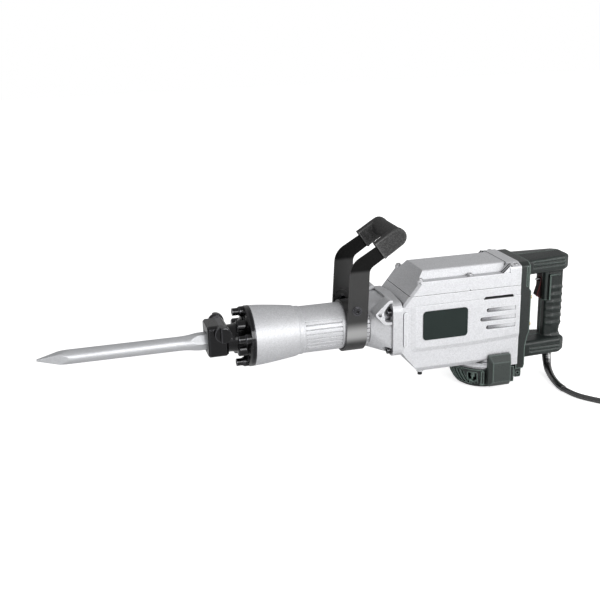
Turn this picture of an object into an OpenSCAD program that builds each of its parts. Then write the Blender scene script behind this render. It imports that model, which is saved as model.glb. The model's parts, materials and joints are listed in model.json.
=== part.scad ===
// Electric demolition hammer with a point chisel, a swivelling side handle and a D-shaped rear handle.
// Pieces are drawn on the tool's own axis: X runs from the chisel to the rear handle, x = 0 is the
// joint between tool holder and front casing, z = 0 is the axis of the hammer mechanism.
// place() then moves them so that the origin is under the motor, on the foot of the tail cover.

/* [Chisel] */
// Overall length of the point chisel
chisel_len = 410; // [320:5:520]
// How far the chisel's rear end reaches behind the holder's flange while it hangs out
chisel_seat = 18; // [12:1:24]
// Width across the flats of the hexagonal shank
shank_af = 30; // [26:0.5:31]
// Diameter of the round bar
bar_d = 27; // [20:0.5:28]
// Length of the ground point
point_len = 58; // [40:1:90]
// Length of shank that shows in front of the holder
shank_show = 12; // [8:1:40]
// How far the chisel can be pushed in
chisel_travel = 15; // [8:1:16]

/* [Tool holder] */
// Length of the holder in front of its flange's rear face
holder_len = 85; // [80:1:100]
// Length of the block that carries the locking bar
head_len = 38; // [35:1:41]
// Width of that block
head_w = 62; // [58:1:70]
// Radius of the neck
neck_r = 26; // [23:0.5:30]
// Thickness of the holder's flange
flange_t = 8; // [6:0.5:12]
// Radius of the circle of the holder bolts
bolt_circle_r = 48; // [46:0.5:50]
// Diameter of the holder bolts
holder_bolt_d = 10; // [8:1:11]
// Radius of the locking bar
bar_lock_r = 11; // [10:0.5:12]
// Height of the locking bar's axis above the chisel's axis
bar_lock_z = 23; // [22.5:0.5:25]

/* [Front casing and cylinder case] */
// Length of the tapered front casing
casing_len = 88; // [80:1:100]
// Radius of the casing at the holder
casing_r = 58; // [56:0.5:62]
// Radius of the casing at its narrow end
casing_end_r = 49; // [47.5:0.5:51]
// Length of the ring between casing and barrel
ring_len = 9; // [7:1:14]
// Radius of the barrel
barrel_r = 45.4; // [43:0.1:47]
// Distance from the holder's joint to the joint between cylinder case and motor housing
seam_x = 282; // [278:1:290]
// Thickness of the square flange of the cylinder case
case_flange_t = 19; // [14:1:24]
// Half width of that flange
case_flange_y = 69; // [66:0.5:72]
// Number of grip flutes on each side of the barrel
flute_count = 6; // [4:1:8]

/* [Motor housing] */
// Half width of the housing
body_y = 67; // [65.5:0.5:70]
// Rear face of the housing
body_rear_x = 529; // [526:1:540]
// Height of the joint between housing and crank cover
belt_z = 43.3; // [41:0.1:46]
// Depth of the housing at its rear
body_low_z = 103; // [100:1:106]
// Wall of the housing
wall = 5; // [4:0.5:7]
// Axis of the motor
motor_x = 482; // [478:1:484]
// Radius of the round motor casing below the housing
motor_case_r = 62; // [58:0.5:64]
// Depth of the motor casing
motor_low_z = 108.5; // [107:0.5:112]
// Depth of the tail cover's foot
foot_z = 152; // [150:1:158]
// Radius of the foot
foot_r = 47; // [42:0.5:50]

/* [Crank cover] */
// Height of the roof
roof_z = 106; // [104:0.5:110]
// Height of the shoulders that carry the cover screws
shoulder_z = 90; // [86:0.5:94]
// Half width of the roof
roof_y = 40; // [36:0.5:44]
// Length of the raised collar at the rear
collar_len = 24; // [18:1:30]

/* [Rear handle] */
// Thickness of the handle's base plate
base_t = 23; // [20:0.5:26]
// Half width of the base plate
base_y = 59; // [56:0.5:62]
// Rear end of the handle
handle_rear_x = 657; // [652:1:665]
// Front of the grip
grip_x = 613; // [608:0.5:616]
// Half width of the grip
grip_y = 20; // [18:0.5:24]
// Top of the handle's upper arm
arm_top_z = 102; // [98:0.5:103]
// Underside of the lower arm
arm_low_z = 105; // [102:0.5:110]
// Turn of the trigger from rest to pressed
trigger_swing = 8; // [4:0.5:9]

/* [Side handle] */
// Width of the steel strap
strap_w = 40; // [34:0.5:44]
// Thickness of the strap
strap_t = 4; // [3:0.25:5]
// Middle of the strap along the barrel
strap_x = 197; // [190:1:200]
// Height at which the arms bend towards the rear
arm_bend_z = 118; // [112:1:130]
// Slope of the arms behind the bend
arm_slope = 31; // [20:1:40]
// Radius of the rubber grip
side_grip_r = 18; // [15:0.5:20]

/* [Hammer mechanism] */
// Radius of the cylinder bore
bore_r = 30; // [28:0.5:31]
// Throw of the crank
crank_r = 17; // [14:0.5:18]
// Length of the connecting rod between its pins
rod_len = 138; // [136:1:140]
// Length of the ram
ram_len = 50; // [40:1:52]

/* [Gears] */
// Module of the first pair of gears
module_a = 1.5; // [1.4:0.05:1.6]
// Teeth of the armature pinion
teeth_pinion = 12; // [11:1:13]
// Teeth of the intermediate gear
teeth_wheel = 50; // [48:1:52]
// Module of the second pair of gears
module_b = 2; // [1.9:0.05:2.1]
// Teeth of the intermediate pinion
teeth_pinion_b = 14; // [13:1:15]
// Teeth of the crank gear
teeth_crank = 46; // [44:1:48]
// Pressure angle of all teeth
pressure = 25; // [24:0.5:26]
// Play between the flanks of meshing teeth
tooth_play = 0.16; // [0.12:0.01:0.3]

/* [Cord] */
// Diameter of the cord
cord_d = 11; // [10:0.5:11.5]
// Mean diameter of the coil
coil_d = 126; // [112:2:132]
// Turns side by side in the coil
coil_columns = 3; // [2:1:3]
// Layers of turns in the coil
coil_layers = 2; // [1:1:2]

/* [Hidden] */
$fa = 6;
$fs = 0.8;
run = 0.05;     // running clearance of shafts, pins and pistons
fit = 0.1;      // clearance of parts that sit in each other without moving
open_gap = 0.3; // gap at the pivot where the crank linkage is opened

// chisel and holder
tip_x = chisel_seat - chisel_len;
tip_r = 1.6;
hex_x = -holder_len - shank_show;
flare_len = 38;
lock_x = -holder_len + 27;
notch_gap = 0.3;
head_up = bar_lock_z + bar_lock_r + 1;
head_down = 26;
head_back = -holder_len + head_len;
flange_r = casing_r + 0.2;
spigot_len = chisel_seat + chisel_travel + 3;
spigot_r = 30;
bolt_turn = -13;
pad_x = -17;
bolt_head_r = 7.2;
bolt_head_len = 14;
bolt_grip = 24;
hex_play = 0.25;
knob_len = 20;
knob_r = 15.5;
far_knob_len = 13;
web_end_x = -30;

// impact bolt, its holder and the cushion
bolt_x = spigot_len + 8;
bolt_collar_x = bolt_x + 32;
bolt_rear_x = bolt_x + 69;
bolt_collar_len = 14;
bolt_front_r = 15;
bolt_collar_r = 22;
bolt_rear_r = 17;
bolt_float = 8;
bolt_back = 4;
sleeve_x = spigot_len + 1;
sleeve_r = 40;
case_x = casing_len + ring_len;
sleeve_end = case_x + 4;
cushion_len = 6;
cylinder_x = sleeve_end + cushion_len;
cylinder_end = seam_x - 20;
flute_end_x = seam_x - case_flange_t - 37;
cylinder_wall = 5;

// crank linkage, laid out from the motor's axis forwards
centre_a = module_a * (teeth_pinion + teeth_wheel) / 2;
centre_b = module_b * (teeth_pinion_b + teeth_crank) / 2;
wheel_x = motor_x - centre_a;
crank_x = wheel_x - centre_b;
pin_x = crank_x - crank_r;
wrist_x = pin_x - rod_len;
piston_x = wrist_x - 24.5;
piston_len = 42;
ram_x = piston_x - 2 - ram_len;
wrist_r = 8;
rod_t = 7;
big_end_r = 20;
small_end_r = 13;
crank_pin_r = 9;
needle_r = 12.5;
web_z = 8;
web_t = 8;
web_r = 30;

// levels of gears and bearings above the tool's axis
deck_z = 17;
crank_gear_z = 50;
crank_gear_t = 14;
wheel_z = crank_gear_z + crank_gear_t + 4;
wheel_t = 12;
roof_bearing_z = 84;
pinion_top_z = wheel_z + wheel_t + 2;

// motor
bore_motor_r = 43;
stator_top = -15;
stator_low = -80;
air_gap = 0.8;
armature_r = 23.5;
commutator_r = 15;
commutator_z = -96;
commutator_len = 16;
shaft_r = 8;
brush_w = 8;
brush_t = 12;
tail_bearing_z = -foot_z + 10;

// housing outline
body_front_low = 48;
chin_x = 318;
chin_z = 93.5;
panel_step = 2;
side_y = body_y - panel_step;
seam_line_z = 63;
slant_x = 333;
louvre_d = 9;
cover_slope = atan((roof_z - belt_z) / (slant_x - seam_x));
boss_r = motor_case_r + 3;
tail_screw_a = 131;
tail_y = side_y - 5;

// outline of the tail cover in (radius, z)
tail_outline = [[motor_case_r + 4, -motor_low_z], [motor_case_r + 4, -motor_low_z - 12],
  [motor_case_r + 1, -132],
  [57, -foot_z + 9], [52, -foot_z + 3], [foot_r, -foot_z]];

// rear handle
base_x = body_rear_x;
base_face = base_x + base_t;
base_bulge = 4;
arm_under_z = 72;
arm_over_z = 71;
trigger_pivot_x = 617;
trigger_pivot_z = 58;
trigger_t = 14;
lock_pin_x = 598;
lock_pin_z = 49;
switch_x = trigger_pivot_x - 2.1 + 51 * sin(trigger_swing);
rib_step = 15.1;

// side handle
strap_inner_r = barrel_r + 1.8;
arm_y = strap_inner_r + strap_t;
clamp_z = 42;
ear_y = strap_inner_r;
grip_end_x = 277;
grip_end_z = 178;

// cord
guard_r = 11.5;
guard_end_r = cord_d / 2 + 1.2;
exit_x = 631;
cord_sides = 10;
GUARD_PATH = [[631, 0, -105.2], [631, 0, -108.5], [630, -4, -117], [628, -10, -127], [625, -18, -135.5],
              [622, -28, -141], [619, -40, -143.8], [615, -53, -144.8], [611, -67, -145], [607, -84, -145],
              [604, -102, -145], [604, -120, -145]];
CORD_PATH = [[604, -120, -145], [608, -138, -145.8], [615, -155, -146.5], [625, -171, -146.5],
             [637, -186, -146.5], [649, -201, -146.5], [660, -217, -146.5], [671, -233, -146.5],
             [681, -250, -146.5], [689, -268, -146.5]];
coil_x = 757;
coil_y = -238;
TAIL_PATH = [[757, -313, -135.3], [775, -313, -135.5], [794, -311, -138.5], [813, -304, -142],
  [829, -292, -144.5],
             [842, -276, -146], [851, -256, -146.5], [854, -236, -146.5]];
plug_x = 854;
plug_y = -236;

// ---- shapes used by several pieces ----

module place() translate([-motor_x, 0, foot_z]) children();
module rod_x(x0, x1, r) translate([x0, 0, 0]) rotate([0, 90, 0]) cylinder(r = r, h = x1 - x0);
module rod_y(y0, y1, r) translate([0, y0, 0]) rotate([-90, 0, 0]) cylinder(r = r, h = y1 - y0);
module rod_z(z0, z1, r) translate([0, 0, z0]) cylinder(r = r, h = z1 - z0);
// outlines in (y, z), (x, z) and (x, y), made solid along the third axis
module slab_x(x0, x1) translate([x0, 0, 0]) rotate([90, 0, 90]) linear_extrude(x1 - x0) children();
module slab_y(y0, y1) translate([0, y1, 0]) rotate([90, 0, 0]) linear_extrude(y1 - y0) children();
module slab_z(z0, z1) translate([0, 0, z0]) linear_extrude(z1 - z0) children();
// outline in (radius, x) turned about the tool's axis
module turn_x() rotate([0, 90, 0]) rotate_extrude() children();
module both_sides() {
  children();
  mirror([0, 1, 0]) children();
}

// an outline whose corners [x, y, r] are rounded
function unit(v) = v / norm(v);
function corner_arc(a, b, c, r, n) =
  let (u = unit(a - b), v = unit(c - b), half = acos(max(-1, min(1, u * v))) / 2,
       m = b + unit(u + v) * r / sin(half), s = b + u * r / tan(half) - m, e = b + v * r / tan(half) - m,
       a0 = atan2(s[1], s[0]), turn = atan2(s[0] * e[1] - s[1] * e[0], s * e))
  [for (i = [0:n]) m + r * [cos(a0 + turn * i / n), sin(a0 + turn * i / n)]];
function rounded(pts, n = 5) =
  let (k = len(pts))
  [for (i = [0:k - 1])
    let (p = pts[i], q = pts[(i + k - 1) % k], s = pts[(i + 1) % k])
    each (p[2] > 0 ? corner_arc([q[0], q[1]], [p[0], p[1]], [s[0], s[1]], p[2], n) : [[p[0], p[1]]])];
function rect(x0, x1, y0, y1, r) = rounded([[x0, y0, r], [x1, y0, r], [x1, y1, r], [x0, y1, r]]);
function arc(cx, cy, r, a0, a1, n) =
  [for (i = [0:n]) let (a = a0 + (a1 - a0) * i / n) [cx + r * cos(a), cy + r * sin(a)]];

// involute teeth, as polar angles on the flank at radius r
function inv(r, rb) = let (t = sqrt(max(0, (r / rb) * (r / rb) - 1))) t * 180 / PI - atan(t);
function gear_points(m, z, shift) =
  let (rp = m * z / 2, rb = rp * cos(pressure), ra = rp + m * 0.95, rf = rp - m * 1.2,
       rs = max(rb, rf), half = 90 / z - tooth_play / 2 / rp * 180 / PI / 2 + inv(rp, rb),
       rise = [rs, rs + (ra - rs) * 0.35, rs + (ra - rs) * 0.7, ra])
  [for (i = [0:z - 1]) let (mid = (i + shift) * 360 / z)
    each concat([[rf * cos(mid - half), rf * sin(mid - half)]],
      [for (r = rise) let (a = mid - half + inv(r, rb)) [r * cos(a), r * sin(a)]],
      [for (k = [3:-1:0]) let (r = rise[k], a = mid + half - inv(r, rb)) [r * cos(a), r * sin(a)]],
      [[rf * cos(mid + half), rf * sin(mid + half)]])];

// a tube of changing radius swept along points
function along(p, i) = unit(p[min(i + 1, len(p) - 1)] - p[max(i - 1, 0)]);
// ring i of a tube along p; up is a direction that the path never takes
function ring_points(p, i, r, up) =
  let (t = along(p, i), s = unit(cross(t, up)), w = cross(t, s))
  [for (k = [0:cord_sides - 1]) p[i] + r * (cos(k * 360 / cord_sides) * s + sin(k * 360 / cord_sides) * w)];
module swept(rings) {
  n = len(rings);
  s = cord_sides;
  polyhedron([for (g = rings) each g],
    concat([[for (k = [0:s - 1]) k]], [[for (k = [s - 1:-1:0]) (n - 1) * s + k]],
      [for (i = [0:n - 2]) for (k = [0:s - 1])
        [i * s + k, (i + 1) * s + k, (i + 1) * s + (k + 1) % s, i * s + (k + 1) % s]]), convexity = 4);
}

// a socket-head screw: head from z = 0 up to head_len, shank below
module socket_screw(d, head_r, head_len, shank) {
  difference() {
    union() {
      cylinder(r = head_r, h = head_len);
      translate([0, 0, -shank]) cylinder(d = d, h = shank + 1);
    }
    translate([0, 0, head_len * 0.45]) cylinder(r = head_r * 0.52, h = head_len, $fn = 6);
  }
}
// a sealed ball bearing: rings and shields
module ball_bearing(z0, t, r_in, r_out) {
  rotate_extrude() difference() {
    translate([r_in, z0]) square([r_out - r_in, t]);
    for (z = [z0 - 1, z0 + t - 0.6]) translate([r_in + 2.2, z]) square([r_out - r_in - 4.4, 1.6]);
  }
}

// ---- chisel and tool holder ----

module chisel() color("silver") difference() {
  point = [[tip_x, -tip_r], [tip_x + point_len, -bar_d / 2 - 0.2], [hex_x, -bar_d / 2 - 0.2],
           [hex_x, bar_d / 2 + 0.2], [tip_x + point_len, bar_d / 2 + 0.2], [tip_x, tip_r]];
  union() {
    intersection() {
      rod_x(tip_x, hex_x, bar_d / 2);
      slab_y(-bar_d, bar_d) polygon(point);
      slab_z(-bar_d, bar_d) polygon(point);
    }
    intersection() {
      slab_x(hex_x - flare_len, chisel_seat) circle(r = shank_af / 2 / cos(30), $fn = 6);
      // the bar swells into the shank over a long forged flare
      turn_x() polygon([[0, hex_x - flare_len], [bar_d / 2, hex_x - flare_len],
        [bar_d / 2 + 0.3, hex_x - flare_len * 0.75], [bar_d / 2 + 1.2, hex_x - flare_len * 0.5],
        [shank_af * 0.55, hex_x - flare_len * 0.2], [shank_af * 0.585, hex_x + 2],
        [shank_af * 0.585, chisel_seat - 3], [shank_af * 0.48, chisel_seat], [0, chisel_seat]]);
    }
  }
  notch_rear = lock_x + bar_lock_r + notch_gap;
  notch_len = 2 * bar_lock_r + 2 * notch_gap + chisel_travel;
  translate([notch_rear - notch_len, -shank_af, bar_lock_z - bar_lock_r - notch_gap])
    cube([notch_len, 2 * shank_af, shank_af]);
}

module at_holder_bolts() for (k = [0:3]) rotate([bolt_turn + 90 * k, 0, 0])
  translate([0, 0, bolt_circle_r]) children();

module tool_holder() color([0.09, 0.09, 0.1]) difference() {
  union() {
    hull() {
      slab_x(-holder_len + 3, head_back - 4) polygon(rect(-head_w / 2, head_w / 2, -head_down, head_up, 9));
      slab_x(-holder_len, head_back) polygon(rect(-head_w / 2 + 3, head_w / 2 - 3, -head_down + 3,
        head_up - 3, 6));
    }
    turn_x() polygon(concat([[0, head_back - 4], [neck_r, head_back - 4]],
      [for (q = arc(neck_r + 29, -39, 29, 180, 94, 7)) q],
      [[flange_r - 1, -flange_t], [flange_r, -flange_t + 1], [flange_r, 0], [0, 0]]));
    rod_x(-1, spigot_len, spigot_r);
    at_holder_bolts() rod_x(pad_x, -flange_t + 1, bolt_head_r + 2.3);
    // rounded webs between the bolts
    for (k = [0:3]) rotate([bolt_turn + 45 + 90 * k, 0, 0]) translate([web_end_x, 0, 31]) rotate([0, 90, 0])
      rotate_extrude() polygon([[0, 0], [9, 0], [11.2, 0.9], [12, 3], [12, -web_end_x - 1],
        [0, -web_end_x - 1]]);
    translate([lock_x, 0, bar_lock_z]) both_sides() rod_y(head_w / 2 - 6, head_w / 2 + 4, bar_lock_r + 2.5);
  }
  slab_x(-holder_len - 1, spigot_len + 1) circle(r = (shank_af / 2 + hex_play) / cos(30), $fn = 6);
  turn_x() polygon([[0, -holder_len - 1], [shank_af * 0.68, -holder_len - 1],
    [shank_af * 0.56, -holder_len + 4], [0, -holder_len + 4]]);
  translate([lock_x, 0, bar_lock_z]) rod_y(-head_w, head_w, bar_lock_r + run);
  at_holder_bolts() {
    rod_x(-60, pad_x, bolt_head_r + 4);
    rod_x(pad_x - 1, 1, holder_bolt_d / 2 + 0.3);
  }
}

// a knob with rounded rims, from z = 0 upwards
module lock_knob(h) rotate_extrude() polygon([[0, 0], [knob_r - 1.5, 0], [knob_r, 1.5], [knob_r, h - 2],
  [knob_r - 0.6, h - 0.6], [knob_r - 2, h], [0, h]]);

module locking_bar() color([0.13, 0.13, 0.14]) translate([lock_x, 0, bar_lock_z]) difference() {
  union() {
    rod_y(-head_w / 2 - 6, head_w / 2 + 6, bar_lock_r);
    for (k = [[90, knob_len - 4.2], [-90, far_knob_len]]) rotate([k[0], 0, 0])
      translate([0, 0, head_w / 2 + 4.2]) difference() {
        lock_knob(k[1]);
        // flat that shows which way the bar is turned
        translate([-knob_r - 1, -knob_r - 1, k[1] - 9]) cube([knob_r - 4, 2 * knob_r + 2, 10]);
      }
  }
  // relief that lets the chisel out when the bar is turned over
  translate([-20, -shank_af * 0.62, bar_lock_r - 7.5]) cube([40, shank_af * 1.24, 20]);
}

module holder_bolts() color([0.1, 0.1, 0.11]) at_holder_bolts() translate([pad_x, 0, 0]) rotate([0, -90, 0])
  socket_screw(holder_bolt_d, bolt_head_r, bolt_head_len, bolt_grip - pad_x);

// ---- casings ----

module front_casing() color([0.78, 0.79, 0.81]) difference() {
  turn_x() polygon(concat([[0, 0], [casing_r - 1, 0], [casing_r, 1]],
    [for (i = [1:5]) let (t = i / 5) [casing_r + (casing_end_r - casing_r) * pow(t, 1.35),
      1 + (casing_len - 5) * t]],
    [[casing_end_r - 0.8, casing_len - 2], [casing_end_r - 2.2, casing_len],
      [barrel_r + 1.3, casing_len + 1.5],
     [barrel_r + 1.3, case_x - 1], [barrel_r + 0.3, case_x], [0, case_x]]));
  rod_x(-1, sleeve_x - 0.5, spigot_r + fit);
  rod_x(sleeve_x - 0.5, case_x + 1, sleeve_r + fit);
  at_holder_bolts() rod_x(-1, bolt_grip + 3, holder_bolt_d / 2 + fit);
}

// fluted panel on each side: a shallow field from angle panel_a0 to panel_a1, with grooves in it
module barrel_flutes() both_sides() {
  panel_a0 = 54;
  panel_a1 = 126;
  for (s = [[case_x + 1.5, strap_x - strap_w / 2 - 5], [strap_x + strap_w / 2 + 1, flute_end_x]]) {
    rotate([panel_a0, 0, 0]) rotate([0, 90, 0]) rotate([0, 0, 180]) translate([0, 0, s[0]])
      rotate_extrude(angle = panel_a1 - panel_a0) translate([barrel_r - 0.8, 0]) square([6, s[1] - s[0]]);
    for (k = [0:flute_count - 1]) rotate([panel_a0 + 9 + (panel_a1 - panel_a0 - 14) * k /
      (flute_count - 1), 0, 0])
      translate([0, 0, barrel_r - 0.6]) rod_x(s[0] + 1, s[1] - 1, 1.3);
  }
}

module at_case_bolts() both_sides() for (z = [[34, 57], [-43, 55]]) translate([0, -z[1], z[0]]) children();

module cylinder_case() color([0.76, 0.77, 0.79]) difference() {
  flange_x = seam_x - case_flange_t;
  flange = rounded([[-case_flange_y, -54, 14], [case_flange_y, -54, 14], [case_flange_y, 52, 16],
                    [0, 58, 60], [-case_flange_y, 52, 16]], 4);
  union() {
    turn_x() polygon([[0, case_x], [barrel_r, case_x], [barrel_r, flange_x], [0, flange_x]]);
    hull() {
      rod_x(flange_x - 38, flange_x - 37, barrel_r + 0.6);
      slab_x(flange_x - 1, flange_x) polygon(rect(-62, 62, -50, 52, 16));
    }
    // heart-shaped webs round the upper bolts
    both_sides() slab_y(-case_flange_y + 3, -38) polygon(rounded([[flange_x - 36, 35, 6],
      [flange_x - 16, 13, 7], [flange_x, 12, 0], [flange_x, 60, 0], [flange_x - 7, 61, 8]], 4));
    slab_x(flange_x, seam_x) polygon(flange);
  }
  rod_x(case_x - 1, cylinder_x, sleeve_r + fit);
  rod_x(cylinder_x - 1, cylinder_end - 6, bore_r + cylinder_wall + fit);
  rod_x(cylinder_end - 7, seam_x + 1, 46);
  barrel_flutes();
  // pockets of the upper bolts: a large one and a small one with a rib between
  both_sides() {
    slab_y(-case_flange_y - 1, -48) polygon(rounded([[flange_x - 18, 39, 6], [flange_x - 15, 18, 6],
      [flange_x, 17, 2], [flange_x, 55, 2], [flange_x - 6, 55, 5]], 4));
    slab_y(-case_flange_y - 1, -52) polygon(rounded([[flange_x - 31, 35, 3], [flange_x - 20.5, 23.5, 3],
      [flange_x - 22.5, 39.5, 3]], 4));
  }
  at_case_bolts() {
    rod_x(flange_x - 24, flange_x, 8);
    rod_x(flange_x - 1, seam_x + 1, 4.3);
  }
}

module case_bolts() color([0.1, 0.1, 0.11]) at_case_bolts()
  translate([seam_x - case_flange_t, 0, 0]) rotate([0, -90, 0]) socket_screw(8, 6.5, 8, case_flange_t + 12);

module housing_outer() {
  intersection() {
    slab_y(-side_y, side_y) polygon(rounded([[seam_x, belt_z, 0], [seam_x, -body_front_low, 2],
      [chin_x, -chin_z, 6],
      [body_rear_x, -chin_z, 0], [body_rear_x, belt_z, 0]]));
    slab_x(seam_x, body_rear_x) polygon(rounded([[-side_y, belt_z, 0], [-side_y, -chin_z + 10, 4],
      [-side_y + 8, -chin_z, 3], [side_y - 8, -chin_z, 3], [side_y, -chin_z + 10, 4], [side_y, belt_z, 0]]));
  }
  translate([chin_x + 8, -50, 0]) rod_z(-chin_z - 2.5, -chin_z + 4, 7);
  // raised field on each side, with a wide soft bevel
  both_sides() hull() {
    slab_y(-side_y - 0.1, -side_y + 1) polygon(rounded([[301, belt_z, 0], [301, -50, 9], [415, -50, 0],
      [body_rear_x, -45, 0], [body_rear_x, belt_z, 0]]));
    slab_y(-body_y, -side_y) polygon(rounded([[310, belt_z, 0], [310, -42, 7], [415, -42, 0],
      [body_rear_x, -37, 0], [body_rear_x, belt_z, 0]]));
  }
  both_sides() slab_y(-side_y - 1.2, -side_y + 1) polygon(rect(285.5, 294.5, -37, 33, 4.4));
  // motor casing: round in front, square behind, blended into the body with a hollow fillet
  intersection() {
    union() {
      translate([motor_x, 0, 0]) rod_z(-body_low_z, -60, boss_r);
      slab_z(-body_low_z, -63) polygon(rounded([[motor_x - 33, -55, 12], [motor_x - 17, -side_y, 16],
        [body_rear_x, -side_y, 0], [body_rear_x, side_y, 0], [motor_x - 17, side_y, 16],
          [motor_x - 33, 55, 12]], 5));
      translate([motor_x, 0, 0]) rotate_extrude() polygon(concat([[40, -chin_z + 1],
        [boss_r + 7, -chin_z + 1]],
        arc(boss_r + 7, -chin_z - 7, 7, 90, 180, 6), [[40, -chin_z - 7]]));
    }
    translate([chin_x, -side_y, -body_low_z - 1]) cube([body_rear_x - chin_x, 2 * side_y, 80]);
  }
  intersection() {
    translate([motor_x, 0, 0]) rod_z(-motor_low_z, -60, motor_case_r);
    translate([motor_x - 80, -tail_y, -motor_low_z - 1]) cube([body_rear_x - motor_x + 80, 2 * tail_y, 60]);
  }
}

// air scoops with an opening at their front end
module louvres() for (row = [[457, 18.7], [444, 1], [457, -16.7]]) {
  intersection() {
    slab_y(-body_y - 1, -body_y + louvre_d + 1) polygon(rounded([[row[0], row[1] - 4.4, 4.3],
      [520, row[1] - 4.4, 1],
      [520, row[1] + 4.4, 1], [row[0], row[1] + 4.4, 4.3]]));
    slab_z(row[1] - 5, row[1] + 5) polygon([[row[0] - 1, -body_y - 2], [row[0] - 1, -body_y + louvre_d],
      [522, -body_y + 0.8], [522, -body_y - 2]]);
  }
  translate([row[0] + 4.8, 0, row[1]]) rod_y(-body_y, -38, 3.5);
}

// air slot that straddles the joint of housing and crank cover
module air_slot() both_sides() slab_y(-body_y - 1, -side_y + 13) polygon([[motor_x - 32.5, belt_z - 2.1],
  [motor_x + 32, belt_z - 2.1], [motor_x + 31, belt_z + 3.2], [motor_x - 28, belt_z + 3.2]]);

module motor_housing() color([0.8, 0.81, 0.83]) difference() {
  housing_outer();
  // crank chamber, open to the cylinder
  slab_y(-side_y + wall + 2, side_y - wall - 2) polygon(rounded([[seam_x + 9, deck_z, 0],
    [seam_x + 9, -44, 4],
    [chin_x + 4, -chin_z + 12, 4], [motor_x - 50, -chin_z + 12, 4], [motor_x - 50, deck_z, 0]]));
  rod_x(seam_x - 1, seam_x + 10, 46);
  // motor bore
  translate([motor_x, 0, 0]) {
    rod_z(-motor_low_z - 1, deck_z, bore_motor_r);
    rod_z(26, belt_z + 1, 20 + fit);
    rod_z(deck_z - 1, 27, shaft_r + 3);
  }
  translate([crank_x, 0, 0]) {
    rod_z(deck_z - 1, deck_z + 16, 31 + fit);
    rod_z(deck_z, belt_z + 1, 26);
  }
  translate([wheel_x, 0, 0]) rod_z(30, belt_z + 1, 17.5 + fit);
  both_sides() louvres();
  air_slot();
  at_case_bolts() rod_x(seam_x - 1, seam_x + 14, 4 + fit);
  at_tail_screws() rod_z(-1, 11, 2 + fit);
  translate([motor_x, 0, commutator_z]) rod_y(-80, 80, 10);
  translate([chin_x + 8, -50, 0]) rod_z(-110, -chin_z + 9, 3 + fit);
}

// side outline of the crank cover, drawn in by d
function cover_outline(d, top) = rounded([[seam_x + d, belt_z, 0],
  [seam_x + d + (top - belt_z) * (slant_x - seam_x) / (roof_z - belt_z), top - d, d > 0 ? 3 : 1.6],
  [body_rear_x - d, top - d, 0], [body_rear_x - d, belt_z, 0]]);

module at_cover_screws() both_sides() for (x = [321, 424]) translate([x, -57, shoulder_z]) children();
module at_collar_screws() both_sides() translate([body_rear_x - 8, -57, roof_z - 5]) children();

module crank_cover() color([0.8, 0.81, 0.83]) {
  difference() {
    union() {
      slab_y(-side_y - 1, side_y + 1) polygon(cover_outline(0, shoulder_z));
      // raised roof between the shoulders
      intersection() {
        slab_y(-side_y, side_y) polygon(cover_outline(0, roof_z));
        slab_x(seam_x, body_rear_x) polygon(rounded([[-54, belt_z, 0], [54, belt_z, 0], [50, shoulder_z, 0],
          [roof_y, roof_z, 5], [-roof_y, roof_z, 5], [-50, shoulder_z, 0]]));
      }
      // full-width collar that meets the handle
      slab_x(body_rear_x - collar_len, body_rear_x) polygon(rounded([[-side_y - 1, belt_z, 0],
        [side_y + 1, belt_z, 0],
        [side_y + 1, roof_z - 5, 5], [48, roof_z + 1, 12], [-48, roof_z + 1, 12],
          [-side_y - 1, roof_z - 5, 5]]));
      // the shoulders climb to the collar in a slanted step
      both_sides() slab_y(-side_y, -46) polygon([[body_rear_x - 38, shoulder_z - 1],
        [body_rear_x - 38, shoulder_z],
        [body_rear_x - collar_len + 1, roof_z - 2], [body_rear_x - collar_len + 1, shoulder_z - 1]]);
      at_cover_screws() rod_z(-8, 1.9, 6.5);
    }
    // gear space
    difference() {
      slab_y(-side_y + wall, side_y - wall) polygon(cover_outline(wall, shoulder_z));
      at_cover_screws() rod_z(-50, 2, 7);
      both_sides() translate([body_rear_x - 8, -57, 0]) rod_z(belt_z, roof_z, 7);
    }
    intersection() {
      slab_y(-side_y, side_y) polygon(cover_outline(wall, roof_z));
      slab_x(seam_x, body_rear_x) polygon([[-44, belt_z - 1], [44, belt_z - 1], [roof_y - 4, roof_z - wall],
        [-roof_y + 4, roof_z - wall]]);
    }
    // groove of the joint line round the sides and front, with its sight hole, air slot and screw holes
    both_sides() {
      translate([seam_x, -side_y - 2, seam_line_z - 0.5]) cube([300, 1.8, 1]);
      translate([421.5, 0, seam_line_z + 1]) rod_y(-side_y - 2, -side_y + 2, 1.3);
      // bevel of the front corner
      translate([seam_x, -side_y - 1, belt_z]) rotate([0, -cover_slope, 0]) rotate([45, 0, 0])
        translate([-8, -3.2, -3.2]) cube([66, 6.4, 6.4]);
      // two slots that climb the step to the collar
      for (y = [-63.5, -57]) slab_y(y, y + 4) polygon([[488.5, shoulder_z + 2], [491, shoulder_z - 5],
        [497.5, shoulder_z - 5], [511, roof_z - 9], [509.5, roof_z + 1], [505.5, roof_z + 1],
          [493, shoulder_z + 2]]);
    }
    translate([seam_x - 1, -side_y - 2, seam_line_z - 0.5])
      cube([(seam_line_z - belt_z) / tan(cover_slope) + 3, 2 * side_y + 4, 1]);
    air_slot();
    at_cover_screws() rod_z(-shoulder_z + belt_z - 1, 3, 2.6);
    at_collar_screws() {
      rod_z(-roof_z + belt_z, 3, 2.6);
      rod_z(0.9, 12, 5);
    }
  }
  // seats of the upper shaft bearings
  for (s = [[crank_x, 20], [wheel_x, 17.5]]) translate([s[0], 0, 0]) difference() {
    rod_z(roof_bearing_z + 1, roof_z - wall + 0.5, s[1] + 4);
    rod_z(roof_bearing_z - 1, roof_bearing_z + 12.2, s[1] + fit);
  }
}

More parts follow.
